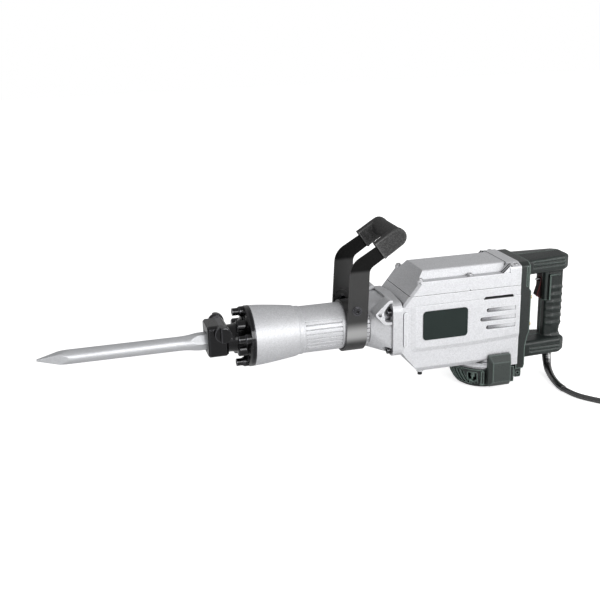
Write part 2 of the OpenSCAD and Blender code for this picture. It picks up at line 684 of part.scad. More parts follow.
module cover_screws() color([0.7, 0.71, 0.73]) {
  at_cover_screws() translate([0, 0, 2]) socket_screw(5, 4.4, 3.2, 44);
  at_collar_screws() translate([0, 0, 1]) socket_screw(5, 4.4, 2.6, 50);
}

module label_plate() color([0.16, 0.2, 0.19]) slab_y(-body_y - 1.2, -body_y)
  polygon(rect(324.5, 417, -27, 31, 7));

module drain_screw() color([0.1, 0.1, 0.11]) translate([chin_x + 8, -50, -chin_z - 2.6]) mirror([0, 0, 1])
  socket_screw(6, 4.6, 7, 8);

// ---- motor tail ----

module at_tail_screws() translate([motor_x, 0, -motor_low_z])
  for (a = [62, tail_screw_a, -tail_screw_a, 298])
  rotate([0, 0, a]) translate([motor_case_r - 3, 0, 0]) children();

module tail_cover() color([0.14, 0.17, 0.16]) difference() {
  union() {
    // blocks that carry the brush covers, with a rib in front of each
    both_sides() {
      slab_y(-tail_y, -46) polygon(rect(motor_x - 30, body_rear_x - 3.5, -142, -motor_low_z, 2));
      slab_y(-tail_y - 3, -46) polygon(rect(motor_x - 30, motor_x - 23, -139, -motor_low_z - 2, 2));
    }
    at_tail_screws() rod_z(-16, 0, 6.5);
    intersection() {
      translate([motor_x, 0, 0]) rotate_extrude() difference() {
        polygon(concat([[0, -foot_z], [0, -motor_low_z]], tail_outline));
        polygon([[20, -foot_z + 5], [16, -foot_z + 12], [16, -foot_z + 22], [12, -foot_z + 22],
          [12, -motor_low_z + 1], [motor_case_r - 1, -motor_low_z + 1], [motor_case_r - 1, -127],
          [52, -foot_z + 10], [46, -foot_z + 5]]);
      }
      translate([motor_x - 90, -tail_y, -foot_z - 1])
        cube([body_rear_x - motor_x + 90, 2 * tail_y, foot_z + 2 - motor_low_z]);
    }
  }
  // bearing seat and shaft space
  translate([motor_x, 0, 0]) rod_z(-foot_z + 8, -motor_low_z + 1, 16 + fit);
  translate([motor_x, 0, 0]) {
    // slanted air slots round the front
    for (a = [146:8.5:214]) rotate([0, 0, a]) translate([motor_case_r - 14, 0, -128]) rotate([24, 0, 0])
      translate([0, -2.3, -15]) cube([30, 4.6, 31]);
    // recess round the screw boss beside each brush cover
    for (a = [tail_screw_a, -tail_screw_a]) rotate([0, 0, a]) difference() {
      translate([motor_case_r - 5, -9, -150]) cube([12, 18, 34]);
      translate([motor_case_r - 3, 0, 0]) rod_z(-125, -110, 5);
      translate([motor_case_r - 5, -1.5, -151]) cube([12, 3, 30]);
    }
  }
  at_tail_screws() {
    rod_z(-30, 1, 2.2);
    rod_z(-60, -10, 4.2);
  }
}

module tail_screws() color([0.1, 0.1, 0.11]) at_tail_screws() mirror([0, 0, 1]) translate([0, 0, 10.1])
  socket_screw(4, 3.4, 3, 20);

module brush_cover() difference() {
  union() {
    hull() {
      slab_y(-71.5, -70) polygon(rect(motor_x - 18.5, motor_x + 29, -141, -75.5, 3));
      slab_y(-81.5, -81) polygon(rect(motor_x - 13, motor_x + 25, -129, -89, 1));
    }
    slab_y(-71, -tail_y - 0.2) polygon(rect(motor_x - 18.5, motor_x + 29, -141, -75.5, 3));
  }
  housing_outer();
  slab_y(-74, -tail_y) polygon(rect(motor_x - 13, motor_x + 23, -132, -86, 3));
}
module brush_cover_left() color([0.17, 0.21, 0.2]) brush_cover();
module brush_cover_right() color([0.17, 0.21, 0.2]) mirror([0, 1, 0]) brush_cover();

// ---- rear handle ----

module at_base_screws() both_sides() for (z = [32, -24]) translate([base_face + base_bulge, -53, z])
  children();

module handle_base() color([0.16, 0.19, 0.18]) difference() {
  union() {
    intersection() {
      slab_y(-base_y, base_y) polygon(rounded([[base_x, arm_top_z + 4, 0],
        [base_face, arm_top_z + 4, 1], [base_face, 51, 2], [base_face + base_bulge, 46, 2],
        [base_face + base_bulge, -38, 4], [base_face, -48, 4], [base_face - 4, -70, 3],
          [base_face - 4, -108, 3],
        [base_face - 6, -116, 3], [base_x, -116, 0]], 3));
      slab_x(base_x, base_face + base_bulge) polygon(rounded([[-base_y, -120, 0], [base_y, -120, 0],
        [base_y, arm_top_z - 4, 5], [base_y - 9, arm_top_z + 3, 8], [0, arm_top_z + 4, 40],
        [9 - base_y, arm_top_z + 3, 8], [-base_y, arm_top_z - 4, 5]], 4));
    }
    both_sides() slab_y(-54, -44) polygon(rect(body_rear_x + 0.3, base_x + 15, -136, -108, 3));
  }
  at_base_screws() rod_x(-50, 1, 2.7);
  both_sides() translate([base_x + 8, 0, -127]) rod_y(-60, -40, 2.5);
  // groove between the base's side and its rear lip
  both_sides() slab_y(-base_y - 1, -base_y + 1.2) polygon([[base_face - 6, 56], [base_face - 4.5, 56],
    [base_face - 4.5, 96], [base_face - 6, 96]]);
}

module base_screws() color([0.7, 0.65, 0.5]) at_base_screws() rotate([0, 90, 0]) socket_screw(5, 4.4, 3, 26);

module ball_at(x, y, z, r) translate([x, y, z]) sphere(r = r, $fn = 18);
// an arm that narrows to the rear; drop0 and drop1 lower its underside and its top at the rear end
module rounded_arm(z0, z1, r, drop0, drop1, crown) hull() {
  for (e = [0, 1], s = [-1, 1]) {
    z = e == 0 ? z0 + r : z1 - r;
    drop = e == 0 ? drop0 : drop1;
    ball_at(base_face - 4, s * (43.5 - r), z, r);
    ball_at(handle_rear_x - 9 - r, s * (32 - r), z - drop, r);
    ball_at(handle_rear_x + 1 - r, s * (24 - r), z - drop, r);
  }
  ball_at(base_face - 4, 0, z1 - r + crown, r);
  ball_at(handle_rear_x - 8 - r, 0, z1 - r + crown - drop1, r);
}
// a half-round groove in the side of an arm, from height z0 near the base to z1 at the rear
module arm_groove(z0, z1) translate([569, -41, z0]) rotate([0, atan((z0 - z1) / 75), 7.1]) rod_x(0, 75, 2);

function grip_outline(grow) = rounded([[grip_x, -grip_y + 5 - grow / 2, 6], [628, -grip_y - grow, 9],
  [650, -grip_y + 1 - grow, 9], [handle_rear_x - 2 + grow, 0, 20], [650, grip_y - 1 + grow, 9],
  [628, grip_y + grow, 9], [grip_x, grip_y - 5 + grow / 2, 6]], 4);

// the whole D before it is parted along the middle
module handle_solid() {
  rounded_arm(arm_under_z, arm_top_z, 6.5, 0, -1.5, 4);
  rounded_arm(-arm_low_z + 2.4, -arm_over_z + 2, 8, 3, 3, 1);
  slab_z(-40, arm_under_z + 6) polygon(grip_outline(0));
  // the grip tapers below the ribs and flares again where it meets the lower arm
  translate([grip_x, 0, -39.9]) mirror([0, 0, 1]) linear_extrude(-39.9 + arm_over_z + 6, scale =
    [0.88, 0.93])
    translate([-grip_x, 0]) polygon(grip_outline(0));
  translate([632, 0, -arm_over_z - 1]) linear_extrude(9, scale = 0.86) translate([-632, 0])
    polygon(grip_outline(1.5));
  // finger ribs: a crest every rib_step, two of them inside the side field
  for (k = [0:5], m = [0, 1]) translate([634, 0, -43 + rib_step * k]) mirror([0, 0, m])
    linear_extrude(rib_step / 2 - 0.6, scale = 0.91) translate([-634, 0])
      intersection() {
        polygon(grip_outline(2));
        translate([k > 3 ? 623 : 615, -40]) square([60, 80]);
      }
  // frame round the trigger, rim of the side field, and collar under the upper arm
  slab_z(8, arm_under_z + 4) polygon(rounded([[607, -grip_y + 7, 2], [610, -grip_y + 1, 3],
    [616, -grip_y + 1, 2],
    [616, grip_y - 1, 2], [610, grip_y - 1, 3], [607, grip_y - 7, 2]], 3));
  both_sides() {
    slab_z(8, 62) polygon([[618, -grip_y - 2], [621.5, -grip_y - 2.4], [622, -grip_y + 3],
      [618, -grip_y + 3]]);
    slab_z(59, 62.5) polygon([[618, -grip_y - 2], [628, -grip_y - 2.4], [641, -grip_y - 1.2],
      [641, -grip_y + 5],
      [618, -grip_y + 5]]);
  }
}

module handle_half() difference() {
  handle_solid();
  translate([base_x, 0, -120]) cube([160, 60, 240]);
  translate([base_x - 40, -60, -120]) cube([40.2 + base_t, 70, 240]);
  translate([base_x, -60, -52]) cube([base_t + base_bulge + 0.2, 70, 104]);
  // switch space and trigger slot
  translate([switch_x - 0.5, -13, -6]) cube([24, 20, 70]);
  translate([grip_x - 12, -trigger_t / 2 - 0.6, 4.5]) cube([24, 20, 62]);
  arm_groove(95.6, 93.2);
  arm_groove(86.7, 86);
  arm_groove(-82.5, -86.5);
  arm_groove(-90.5, -94);
  translate([trigger_pivot_x, 0, trigger_pivot_z]) rod_y(-13.2, 20, 2 + fit);
  translate([exit_x, 0, 0]) {
    rod_z(-arm_low_z - 1, -arm_over_z - 12, 9);
    rod_z(-arm_low_z - 3, -arm_low_z, guard_r + 0.5);
  }
}
module handle_left() color([0.16, 0.2, 0.19]) handle_half();
module handle_right() color([0.16, 0.2, 0.19]) mirror([0, 1, 0]) handle_half();

module trigger() color([0.35, 0.07, 0.07]) difference() {
  slab_y(-trigger_t / 2, trigger_t / 2) polygon(rounded([[trigger_pivot_x - 7, trigger_pivot_z + 5, 2],
    [trigger_pivot_x + 3.5, trigger_pivot_z + 5, 2], [trigger_pivot_x + 3.5, 50, 0],
      [trigger_pivot_x - 4.2, 7, 0],
    [trigger_pivot_x - 7, 7, 1], [597.5, 16, 3], [599.5, 23, 6], [603.5, 36, 30], [606, 48, 10]], 4));
  translate([trigger_pivot_x, 0, trigger_pivot_z]) rod_y(-20, 20, 2 + run);
  translate([594, -4, lock_pin_z - 4.5]) cube([40, 8, 9]);
}

module lock_pin() color([0.75, 0.76, 0.78]) translate([lock_pin_x, 0, lock_pin_z]) rod_x(0, 30, 2.5);

module switch_block() color([0.12, 0.12, 0.13]) {
  difference() {
    translate([switch_x, -12.5, -5]) cube([22, 25, 66]);
    translate([switch_x, 0, lock_pin_z]) rod_x(-1, 15, 2.5 + run);
  }
  translate([trigger_pivot_x, 0, trigger_pivot_z]) rod_y(-12.9, 12.9, 2);
}

// ---- side handle ----

module arm_outline() {
  rise = (grip_end_x - 37 - strap_x) * tan(arm_slope);
  polygon(rounded([[strap_x - strap_w / 2, 0, 0], [strap_x + strap_w / 2, 0, 0],
    [strap_x + strap_w / 2 + 6, arm_bend_z + 4, 16], [grip_end_x - 14, arm_bend_z + 4 + rise, 0],
    [grip_end_x - 26, arm_bend_z + 28 + rise, 0], [strap_x - strap_w / 2 + 9, arm_bend_z + 16, 36]], 5));
}

module side_strap() color([0.12, 0.12, 0.12]) difference() {
  union() {
    rotate([0, 90, 0]) translate([0, 0, strap_x - strap_w / 2]) rotate([0, 0, -90])
      rotate_extrude(angle = 180)
      translate([strap_inner_r, 0]) square([strap_t, strap_w]);
    both_sides() slab_y(-arm_y, -strap_inner_r) arm_outline();
  }
  translate([strap_x, 0, clamp_z]) rod_y(-80, 80, 4.2);
}

module strap_saddle() color([0.12, 0.12, 0.12]) difference() {
  slab_x(strap_x - 18, strap_x + 18) difference() {
    union() {
      circle(r = barrel_r + 4.6);
      for (s = [-1, 1]) translate([s > 0 ? ear_y - 4.6 : -ear_y, 0]) square([4.6, clamp_z + 14]);
    }
    circle(r = barrel_r + 0.1);
    translate([-100, -100]) square([200, 118]);
  }
  translate([strap_x, 0, clamp_z]) rod_y(-80, 80, 4.2);
  both_sides() slab_y(-60, -30) difference() {
    translate([strap_x - 30, clamp_z]) square([60, 40]);
    translate([strap_x, clamp_z]) circle(r = 14);
  }
}

module strap_bolts() color([0.14, 0.14, 0.15]) both_sides() translate([strap_x, -arm_y, clamp_z]) {
  rotate([90, 0, 0]) socket_screw(8, 7.2, 4.4, strap_t + 4.6);
  difference() {
    rod_y(-1.6, 0, 9.5);
    rod_y(-2.6, 1, 4);
  }
  translate([0, strap_t + 4.6, 0]) rotate([-90, 0, 0]) cylinder(r = 7, h = 6.5, $fn = 6);
}

module side_grip() color([0.22, 0.22, 0.22]) difference() {
  union() {
    both_sides() hull() {
      translate([grip_end_x, -arm_y - 5, grip_end_z]) rod_y(2, 14, side_grip_r);
      translate([grip_end_x, -arm_y - 5, grip_end_z]) rod_y(0, 16, side_grip_r - 3);
      slab_y(-arm_y - 5, -strap_inner_r + 6) polygon([[232, 170], [252, 141], [262, 147], [243, 177]]);
    }
    translate([grip_end_x, 0, grip_end_z]) rod_y(-arm_y, arm_y, side_grip_r - 1);
    // lip round the open end of each sleeve
    both_sides() slab_y(-arm_y - 6, -strap_inner_r + 7) polygon([[231, 169.5], [251.5, 139.5], [255, 141.8],
      [234.5, 171.8]]);
  }
  both_sides() slab_y(-arm_y - fit, -strap_inner_r + fit) arm_outline();
}

// ---- hammer mechanism ----

module hammer_sleeve() color([0.5, 0.5, 0.52]) turn_x() polygon([
  [bolt_front_r + run, sleeve_x], [sleeve_r, sleeve_x], [sleeve_r, sleeve_end],
    [bolt_rear_r + run, sleeve_end],
  [bolt_rear_r + run, bolt_collar_x + bolt_collar_len + bolt_back],
    [bolt_collar_r + run, bolt_collar_x + bolt_collar_len + bolt_back],
  [bolt_collar_r + run, bolt_collar_x - bolt_float], [bolt_front_r + run, bolt_collar_x - bolt_float]]);

module impact_bolt() color([0.6, 0.6, 0.62]) turn_x() polygon([[0, bolt_x], [bolt_front_r - 2, bolt_x],
  [bolt_front_r, bolt_x + 2], [bolt_front_r, bolt_collar_x], [bolt_collar_r, bolt_collar_x],
  [bolt_collar_r, bolt_collar_x + bolt_collar_len], [bolt_rear_r, bolt_collar_x + bolt_collar_len],
  [bolt_rear_r, bolt_rear_x - 2], [bolt_rear_r - 2, bolt_rear_x], [0, bolt_rear_x]]);

module cushion_ring() color([0.1, 0.1, 0.1]) difference() {
  rod_x(sleeve_end, cylinder_x, sleeve_r - 2);
  rod_x(sleeve_end - 1, cylinder_x + 1, bolt_rear_r + 3);
}

module cylinder_tube() difference() {
  rod_x(cylinder_x, cylinder_end, bore_r + cylinder_wall);
  rod_x(cylinder_x - 1, cylinder_end + 1, bore_r);
  // air ports
  for (a = [0:60:300]) rotate([a, 0, 0]) translate([ram_x + ram_len / 2 + 30, 0, 0]) rod_z(0, 60, 2);
}

module ram() color([0.55, 0.55, 0.57]) difference() {
  rod_x(ram_x, ram_x + ram_len, bore_r - run);
  for (x = [ram_x + 10, ram_x + ram_len - 12]) difference() {
    rod_x(x, x + 3, bore_r + 1);
    rod_x(x - 1, x + 4, bore_r - 2.5);
  }
}

module piston() color([0.62, 0.62, 0.64]) difference() {
  rod_x(piston_x, piston_x + piston_len, bore_r - run);
  rod_x(wrist_x - 15, piston_x + piston_len + 1, 16);
  slab_x(wrist_x - 15, piston_x + piston_len + 1) square([2 * bore_r - 10, 2 * rod_t + 1], center = true);
  translate([wrist_x, 0, 0]) rod_z(-bore_r, bore_r, wrist_r + 0.02);
  difference() {
    rod_x(piston_x + 6, piston_x + 9, bore_r + 1);
    rod_x(piston_x + 5, piston_x + 10, bore_r - 3);
  }
}

module piston_ring() color([0.3, 0.3, 0.3]) difference() {
  rod_x(piston_x + 6.1, piston_x + 8.9, bore_r - run);
  rod_x(piston_x + 5, piston_x + 10, bore_r - 2.9);
}

module wrist_pin() color([0.65, 0.65, 0.67]) translate([wrist_x, 0, 0]) rod_z(-25, 25, wrist_r);

module connecting_rod() color([0.5, 0.5, 0.52]) difference() {
  union() {
    translate([wrist_x, 0, 0]) rod_z(-rod_t, rod_t, small_end_r);
    translate([pin_x, 0, 0]) rod_z(-rod_t, rod_t, big_end_r);
    slab_z(-rod_t + 1.5, rod_t - 1.5) polygon([[wrist_x, -small_end_r + 4], [pin_x, -big_end_r + 7],
      [pin_x, big_end_r - 7], [wrist_x, small_end_r - 4]]);
  }
  translate([wrist_x, 0, 0]) rod_z(-20, 20, wrist_r + run);
  translate([pin_x, 0, 0]) rod_z(-20, 20, needle_r);
  for (s = [-1, 1]) slab_z(s > 0 ? rod_t - 3 : -rod_t - 1, s > 0 ? rod_t + 1 : -rod_t + 3)
    polygon([[wrist_x + 18, -4], [pin_x - 24, -7], [pin_x - 24, 7], [wrist_x + 18, 4]]);
}

module crank_pin() color([0.65, 0.65, 0.67]) translate([pin_x, 0, 0]) {
  rod_z(-rod_t - 3, web_z - open_gap, crank_pin_r);
  difference() {
    rod_z(-rod_t, rod_t, needle_r);
    rod_z(-rod_t - 1, rod_t + 1, crank_pin_r);
  }
  rod_z(-rod_t - 3, -rod_t, needle_r - 1);
}

module crankshaft() color([0.55, 0.55, 0.57]) difference() {
  translate([crank_x, 0, 0]) {
    rod_z(web_z, web_z + web_t, web_r);
    rod_z(web_z, roof_bearing_z - 16, 15 - run);
    rod_z(web_z, roof_bearing_z + 11, 8.5 - run);
    rod_z(web_z + web_t - 1, deck_z + 0.4, 18);
  }
  // relief opposite to the heavy side
  translate([crank_x + 42, 0, 0]) rod_z(web_z - 1, web_z + web_t - 1.5, 20);
}

module gear(m, z, t, shift, r_bore) difference() {
  linear_extrude(t) polygon(gear_points(m, z, shift));
  translate([0, 0, -1]) cylinder(r = r_bore, h = t + 2);
}

module crank_gear() color([0.5, 0.5, 0.53]) translate([crank_x, 0, crank_gear_z]) difference() {
  gear(module_b, teeth_crank, crank_gear_t, 0.5, 15 - run);
  for (s = [-1, 1]) translate([0, 0, s > 0 ? crank_gear_t - 3 : -1]) difference() {
    cylinder(r = teeth_crank * module_b / 2 - 7, h = 4);
    translate([0, 0, -1]) cylinder(r = 22, h = 6);
  }
}

module crank_bearings() color([0.66, 0.66, 0.68]) translate([crank_x, 0, 0]) {
  ball_bearing(deck_z + 0.5, 15.5, 15, 31);
  ball_bearing(roof_bearing_z, 12, 8.5, 20);
}

module intermediate_gear() color([0.5, 0.5, 0.53]) translate([wheel_x, 0, 0]) {
  translate([0, 0, wheel_z]) difference() {
    gear(module_a, teeth_wheel, wheel_t, 0.5, 9);
    for (s = [-1, 1]) translate([0, 0, s > 0 ? wheel_t - 3 : -1]) difference() {
      cylinder(r = teeth_wheel * module_a / 2 - 6, h = 4);
      translate([0, 0, -1]) cylinder(r = 16, h = 6);
    }
  }
  translate([0, 0, crank_gear_z - 2]) linear_extrude(wheel_z - crank_gear_z + 3)
    polygon(gear_points(module_b, teeth_pinion_b, (teeth_pinion_b % 2) / 2));
  rod_z(30.5, roof_bearing_z + 10.5, 7.5 - run);
  rod_z(wheel_z, roof_bearing_z - 0.5, 10);
}

module intermediate_bearings() color([0.66, 0.66, 0.68]) translate([wheel_x, 0, 0]) {
  ball_bearing(30, 11, 7.5, 17.5);
  ball_bearing(roof_bearing_z, 11, 7.5, 17.5);
}

// ---- motor ----

module armature() color([0.55, 0.35, 0.22]) translate([motor_x, 0, 0]) {
  rod_z(-foot_z + 9, wheel_z, shaft_r - run);
  translate([0, 0, wheel_z - 1]) linear_extrude(pinion_top_z - wheel_z + 1)
    polygon(gear_points(module_a, teeth_pinion, (teeth_pinion % 2) / 2));
  difference() {
    rod_z(stator_low + 6, stator_top - 6, armature_r);
    for (k = [0:11]) rotate([0, 0, k * 30]) translate([armature_r, 0, 0]) rod_z(stator_low, stator_top, 1.6);
  }
  rotate_extrude() for (z = [stator_low - 1, stator_top - 6])
    polygon([[shaft_r - 1, z], [20, z], [21.5, z + 3],
    [20, z + 7], [shaft_r - 1, z + 7]]);
}

module commutator() color([0.72, 0.45, 0.2]) translate([motor_x, 0, commutator_z - commutator_len / 2])
  difference() {
  cylinder(r = commutator_r, h = commutator_len - 2);
  translate([0, 0, -1]) cylinder(r = shaft_r - run, h = commutator_len + 2);
  for (k = [0:11]) rotate([0, 0, 30 * k]) translate([commutator_r - 1, -0.3, -1])
    cube([4, 0.6, commutator_len - 3]);
}

module fan() color([0.2, 0.2, 0.22]) translate([motor_x, 0, 0]) difference() {
  union() {
    rod_z(-3, 0, bore_motor_r - 3);
    rod_z(-6, 11, 13);
    for (k = [0:8]) rotate([0, 0, 40 * k]) translate([0, 0, -1]) linear_extrude(12)
      polygon([[11, -1], [26, 2], [bore_motor_r - 3.5, 9], [bore_motor_r - 4, 11], [25, 4.2], [11, 1.2]]);
  }
  rod_z(-8, 20, shaft_r - run);
}

module armature_bearings() color([0.66, 0.66, 0.68]) translate([motor_x, 0, 0]) {
  ball_bearing(26.2, 12, shaft_r, 20);
  ball_bearing(tail_bearing_z - 1.8, 9, shaft_r, 16);
}

module stator() color([0.42, 0.42, 0.44]) translate([motor_x, 0, 0]) difference() {
  rod_z(stator_low, stator_top, bore_motor_r - fit);
  rod_z(stator_low - 1, stator_top + 1, armature_r + air_gap);
  // windows for the two coils
  for (s = [-1, 1]) translate([0, s * 27, (stator_low + stator_top) / 2])
    cube([40, 15, 100], center = true);
}

module field_coils() color([0.6, 0.38, 0.22]) translate([motor_x, 0, (stator_low + stator_top) / 2])
  for (s = [-1, 1]) translate([0, s * 30.2, 0]) difference() {
    cube([38, 8, stator_top - stator_low + 10], center = true);
    cube([16, 10, 40], center = true);
  }

module brush_holders() color([0.3, 0.22, 0.12]) translate([motor_x, 0, commutator_z]) both_sides() {
  difference() {
    rod_y(-64, -18, 10 - fit);
    translate([-brush_w / 2 - fit, -66, -brush_t / 2 - fit])
      cube([brush_w + 2 * fit, 60, brush_t + 2 * fit]);
  }
}

module carbon_brushes() color([0.15, 0.15, 0.15]) translate([motor_x, 0, commutator_z]) both_sides() {
  translate([-brush_w / 2, -38, -brush_t / 2]) cube([brush_w, 38 - commutator_r - open_gap, brush_t]);
  rod_y(-63.5, -37.8, 3);
}

// ---- cord ----

module cord_guard() color([0.12, 0.12, 0.12]) {
  n = len(GUARD_PATH) - 1;
  swept([for (i = [0:n]) ring_points(GUARD_PATH, i, guard_end_r + (guard_r - guard_end_r) *
    pow(1 - i / n, 2.3), [1, 0, 0])]);
  translate([exit_x, 0, 0]) rod_z(-arm_low_z - 0.5, -arm_over_z - 13, 8.8);
}

module cord() color([0.1, 0.1, 0.1]) {
  for (path = [CORD_PATH, TAIL_PATH]) swept([for (i = [0:len(path) - 1])
    ring_points(path, i, cord_d / 2, [0, 0, 1])]);
}

module cord_coil() color([0.1, 0.1, 0.1]) translate([coil_x, coil_y, -foot_z]) rotate_extrude()
  translate([coil_d / 2 - coil_columns * cord_d / 2, 0])
    square([coil_columns * cord_d, coil_layers * cord_d]);

module plug() color([0.12, 0.12, 0.12]) translate([plug_x, plug_y, -foot_z]) {
  translate([0, 0, 18]) rotate([-90, 0, 0]) cylinder(r1 = 9, r2 = 18, h = 30);
  translate([0, 30, 18]) rotate([-90, 0, 0]) cylinder(r = 18, h = 16);
  for (s = [-1, 1]) translate([9.5 * s, 45, 18]) rotate([-90, 0, 0]) cylinder(r = 2.4, h = 20);
}

place() chisel();
place() tool_holder();
place() locking_bar();
place() holder_bolts();
place() front_casing();
place() cylinder_case();
place() case_bolts();
place() motor_housing();
place() crank_cover();
place() cover_screws();
place() label_plate();
place() drain_screw();
place() tail_cover();
place() tail_screws();
place() brush_cover_left();
place() brush_cover_right();
place() handle_base();
place() base_screws();
place() handle_left();
place() handle_right();
place() trigger();
place() lock_pin();
place() switch_block();
place() side_strap();
place() strap_saddle();
place() strap_bolts();
place() side_grip();
place() hammer_sleeve();
place() impact_bolt();
place() cushion_ring();
place() color([0.6, 0.6, 0.62]) cylinder_tube();  // cylinder
place() ram();
place() piston();
place() piston_ring();
place() wrist_pin();
place() connecting_rod();
place() crank_pin();
place() crankshaft();
place() crank_gear();
place() crank_bearings();
place() intermediate_gear();
place() intermediate_bearings();
place() armature();
place() commutator();
place() fan();
place() armature_bearings();
place() stator();
place() field_coils();
place() brush_holders();
place() carbon_brushes();
place() cord_guard();
place() cord();
place() cord_coil();
place() plug();
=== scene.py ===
# %% [markdown]
# # Electric demolition hammer
# The tool breaks concrete with a point chisel. A motor stands upright in the rear housing and turns a
# crank under the silver cover. The crank drives a piston in the barrel, and air behind the ram throws it
# against the chisel. The packed model already has every solid at its real size, so this script gives
# them their finishes, and makes the pieces that a solid modeller leaves plain.

# %% Load the packed model
import json
import math

import bmesh
import bpy
from mathutils import Matrix, Vector


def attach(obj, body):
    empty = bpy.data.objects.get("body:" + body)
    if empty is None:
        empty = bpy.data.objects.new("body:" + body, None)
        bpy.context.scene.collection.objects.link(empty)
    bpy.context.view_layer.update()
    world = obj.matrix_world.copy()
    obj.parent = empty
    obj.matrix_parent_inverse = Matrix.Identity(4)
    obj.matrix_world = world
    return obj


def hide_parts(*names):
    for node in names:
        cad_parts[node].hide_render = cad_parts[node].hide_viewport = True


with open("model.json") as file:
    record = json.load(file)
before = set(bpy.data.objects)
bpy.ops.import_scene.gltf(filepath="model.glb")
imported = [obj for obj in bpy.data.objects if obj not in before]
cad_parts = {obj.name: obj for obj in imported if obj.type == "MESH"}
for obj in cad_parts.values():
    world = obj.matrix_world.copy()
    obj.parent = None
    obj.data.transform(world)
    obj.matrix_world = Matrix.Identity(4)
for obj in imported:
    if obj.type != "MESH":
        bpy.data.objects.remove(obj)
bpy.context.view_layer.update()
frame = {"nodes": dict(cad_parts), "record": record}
nodes = frame["nodes"]

# %% [markdown]
# ## Camera
# The tool is seen from its side, a little from the front and from above. A camera is placed by where it
# stands and by three directions: to its right, up and ahead. They are the columns of its matrix.

# %% Place the camera
IMAGE_SIDE = 600
FOCAL_PIXELS = 917.4
SENSOR_MM = 36.0
EYE = Vector((-0.8057, -1.6067, 0.7491))
RIGHT = Vector((0.96438, -0.26317, -0.02672))
UP = Vector((0.10559, 0.29034, 0.95108))

camera_data = bpy.data.cameras.new("camera")
camera_data.sensor_width = SENSOR_MM
camera_data.lens = FOCAL_PIXELS * SENSOR_MM / IMAGE_SIDE
camera = bpy.data.objects.new("camera", camera_data)
ahead = UP.cross(RIGHT)
camera.matrix_world = Matrix((
    (RIGHT.x, UP.x, -ahead.x, EYE.x),
    (RIGHT.y, UP.y, -ahead.y, EYE.y),
    (RIGHT.z, UP.z, -ahead.z, EYE.z),
    (0, 0, 0, 1),
))
bpy.context.scene.collection.objects.link(camera)
bpy.context.scene.camera = camera
print("lens", round(camera_data.lens, 2), "mm")

# %% [markdown]
# ## Light and floor
# A product picture is lit by large soft lamps in a white room. The main lamp stands in front and a little
# to the right, so the long side is bright and the faces that look forwards or up are darker. The room
# gives gentle light from all round, a little more from overhead, and the camera sees it as plain white.

# %% Lamps


def softbox(name, place, aim, size, watts):
    """A square area lamp that points at a spot."""
    data = bpy.data.lights.new(name, "AREA")
    data.size = size
    data.energy = watts
    lamp = bpy.data.objects.new(name, data)
    lamp.location = place
    lamp.rotation_euler = (Vector(aim) - Vector(place)).to_track_quat("-Z", "Y").to_euler()
    bpy.context.scene.collection.objects.link(lamp)
    return lamp


softbox("lamp_key", place=(0.5, -2.7, 1.15), aim=(-0.1, 0, 0.12), size=1.4, watts=43)
softbox("lamp_side", place=(2.0, -1.3, 0.9), aim=(0.1, 0, 0.15), size=1.0, watts=22)
softbox("lamp_low", place=(-1.3, -2.4, 0.35), aim=(-0.3, 0, 0.12), size=1.0, watts=11)

print(len(bpy.data.lights), "lamps")

# %% [markdown]
# The room's light is the world's. Two backgrounds stand ready: a dim one that lights the tool, and a white
# one that only the camera and rays through clear materials see. The dim one grows with height, in a smooth
# step.

# %% White room
ROOM_LIGHT = 0.38
ROOM_LIGHT_OVERHEAD = 0.50
RISE_FROM = 0.15
RISE_TO = 0.95

world = bpy.data.worlds.new("white room")
bpy.context.scene.world = world
world.use_nodes = True
room = world.node_tree
for old in list(room.nodes):
    room.nodes.remove(old)
rays = room.nodes.new("ShaderNodeLightPath")
seen = room.nodes.new("ShaderNodeMath")
seen.operation = "MAXIMUM"
room.links.new(rays.outputs["Is Camera Ray"], seen.inputs[0])
room.links.new(rays.outputs["Is Transmission Ray"], seen.inputs[1])
direction = room.nodes.new("ShaderNodeTexCoord")
parts = room.nodes.new("ShaderNodeSeparateXYZ")
room.links.new(direction.outputs["Generated"], parts.inputs[0])
by_height = room.nodes.new("ShaderNodeMapRange")
by_height.interpolation_type = "SMOOTHSTEP"
by_height.inputs["From Min"].default_value = RISE_FROM
by_height.inputs["From Max"].default_value = RISE_TO
by_height.inputs["To Min"].default_value = ROOM_LIGHT
by_height.inputs["To Max"].default_value = ROOM_LIGHT_OVERHEAD
room.links.new(parts.outputs["Z"], by_height.inputs["Value"])
dim = room.nodes.new("ShaderNodeBackground")
room.links.new(by_height.outputs[0], dim.inputs["Strength"])
white = room.nodes.new("ShaderNodeBackground")
white.inputs["Strength"].default_value = 1.0
for background in (dim, white):
    background.inputs["Color"].default_value = (1, 1, 1, 1)
choice = room.nodes.new("ShaderNodeMixShader")
room.links.new(seen.outputs[0], choice.inputs[0])
room.links.new(dim.outputs[0], choice.inputs[1])
room.links.new(white.outputs[0], choice.inputs[2])
room_output = room.nodes.new("ShaderNodeOutputWorld")
room.links.new(choice.outputs[0], room_output.inputs[0])

bpy.context.scene.view_settings.view_transform = "Standard"
print("room light", ROOM_LIGHT, "to", ROOM_LIGHT_OVERHEAD)

# %% [markdown]
# ## Writing a finish as arithmetic
# A material is a graph of nodes. Here a small class stands for one socket of the graph, and Python's own
# operators on it add Math nodes, so a pattern reads like a formula. Everything else comes from node().

# %% Sockets that can be calculated with


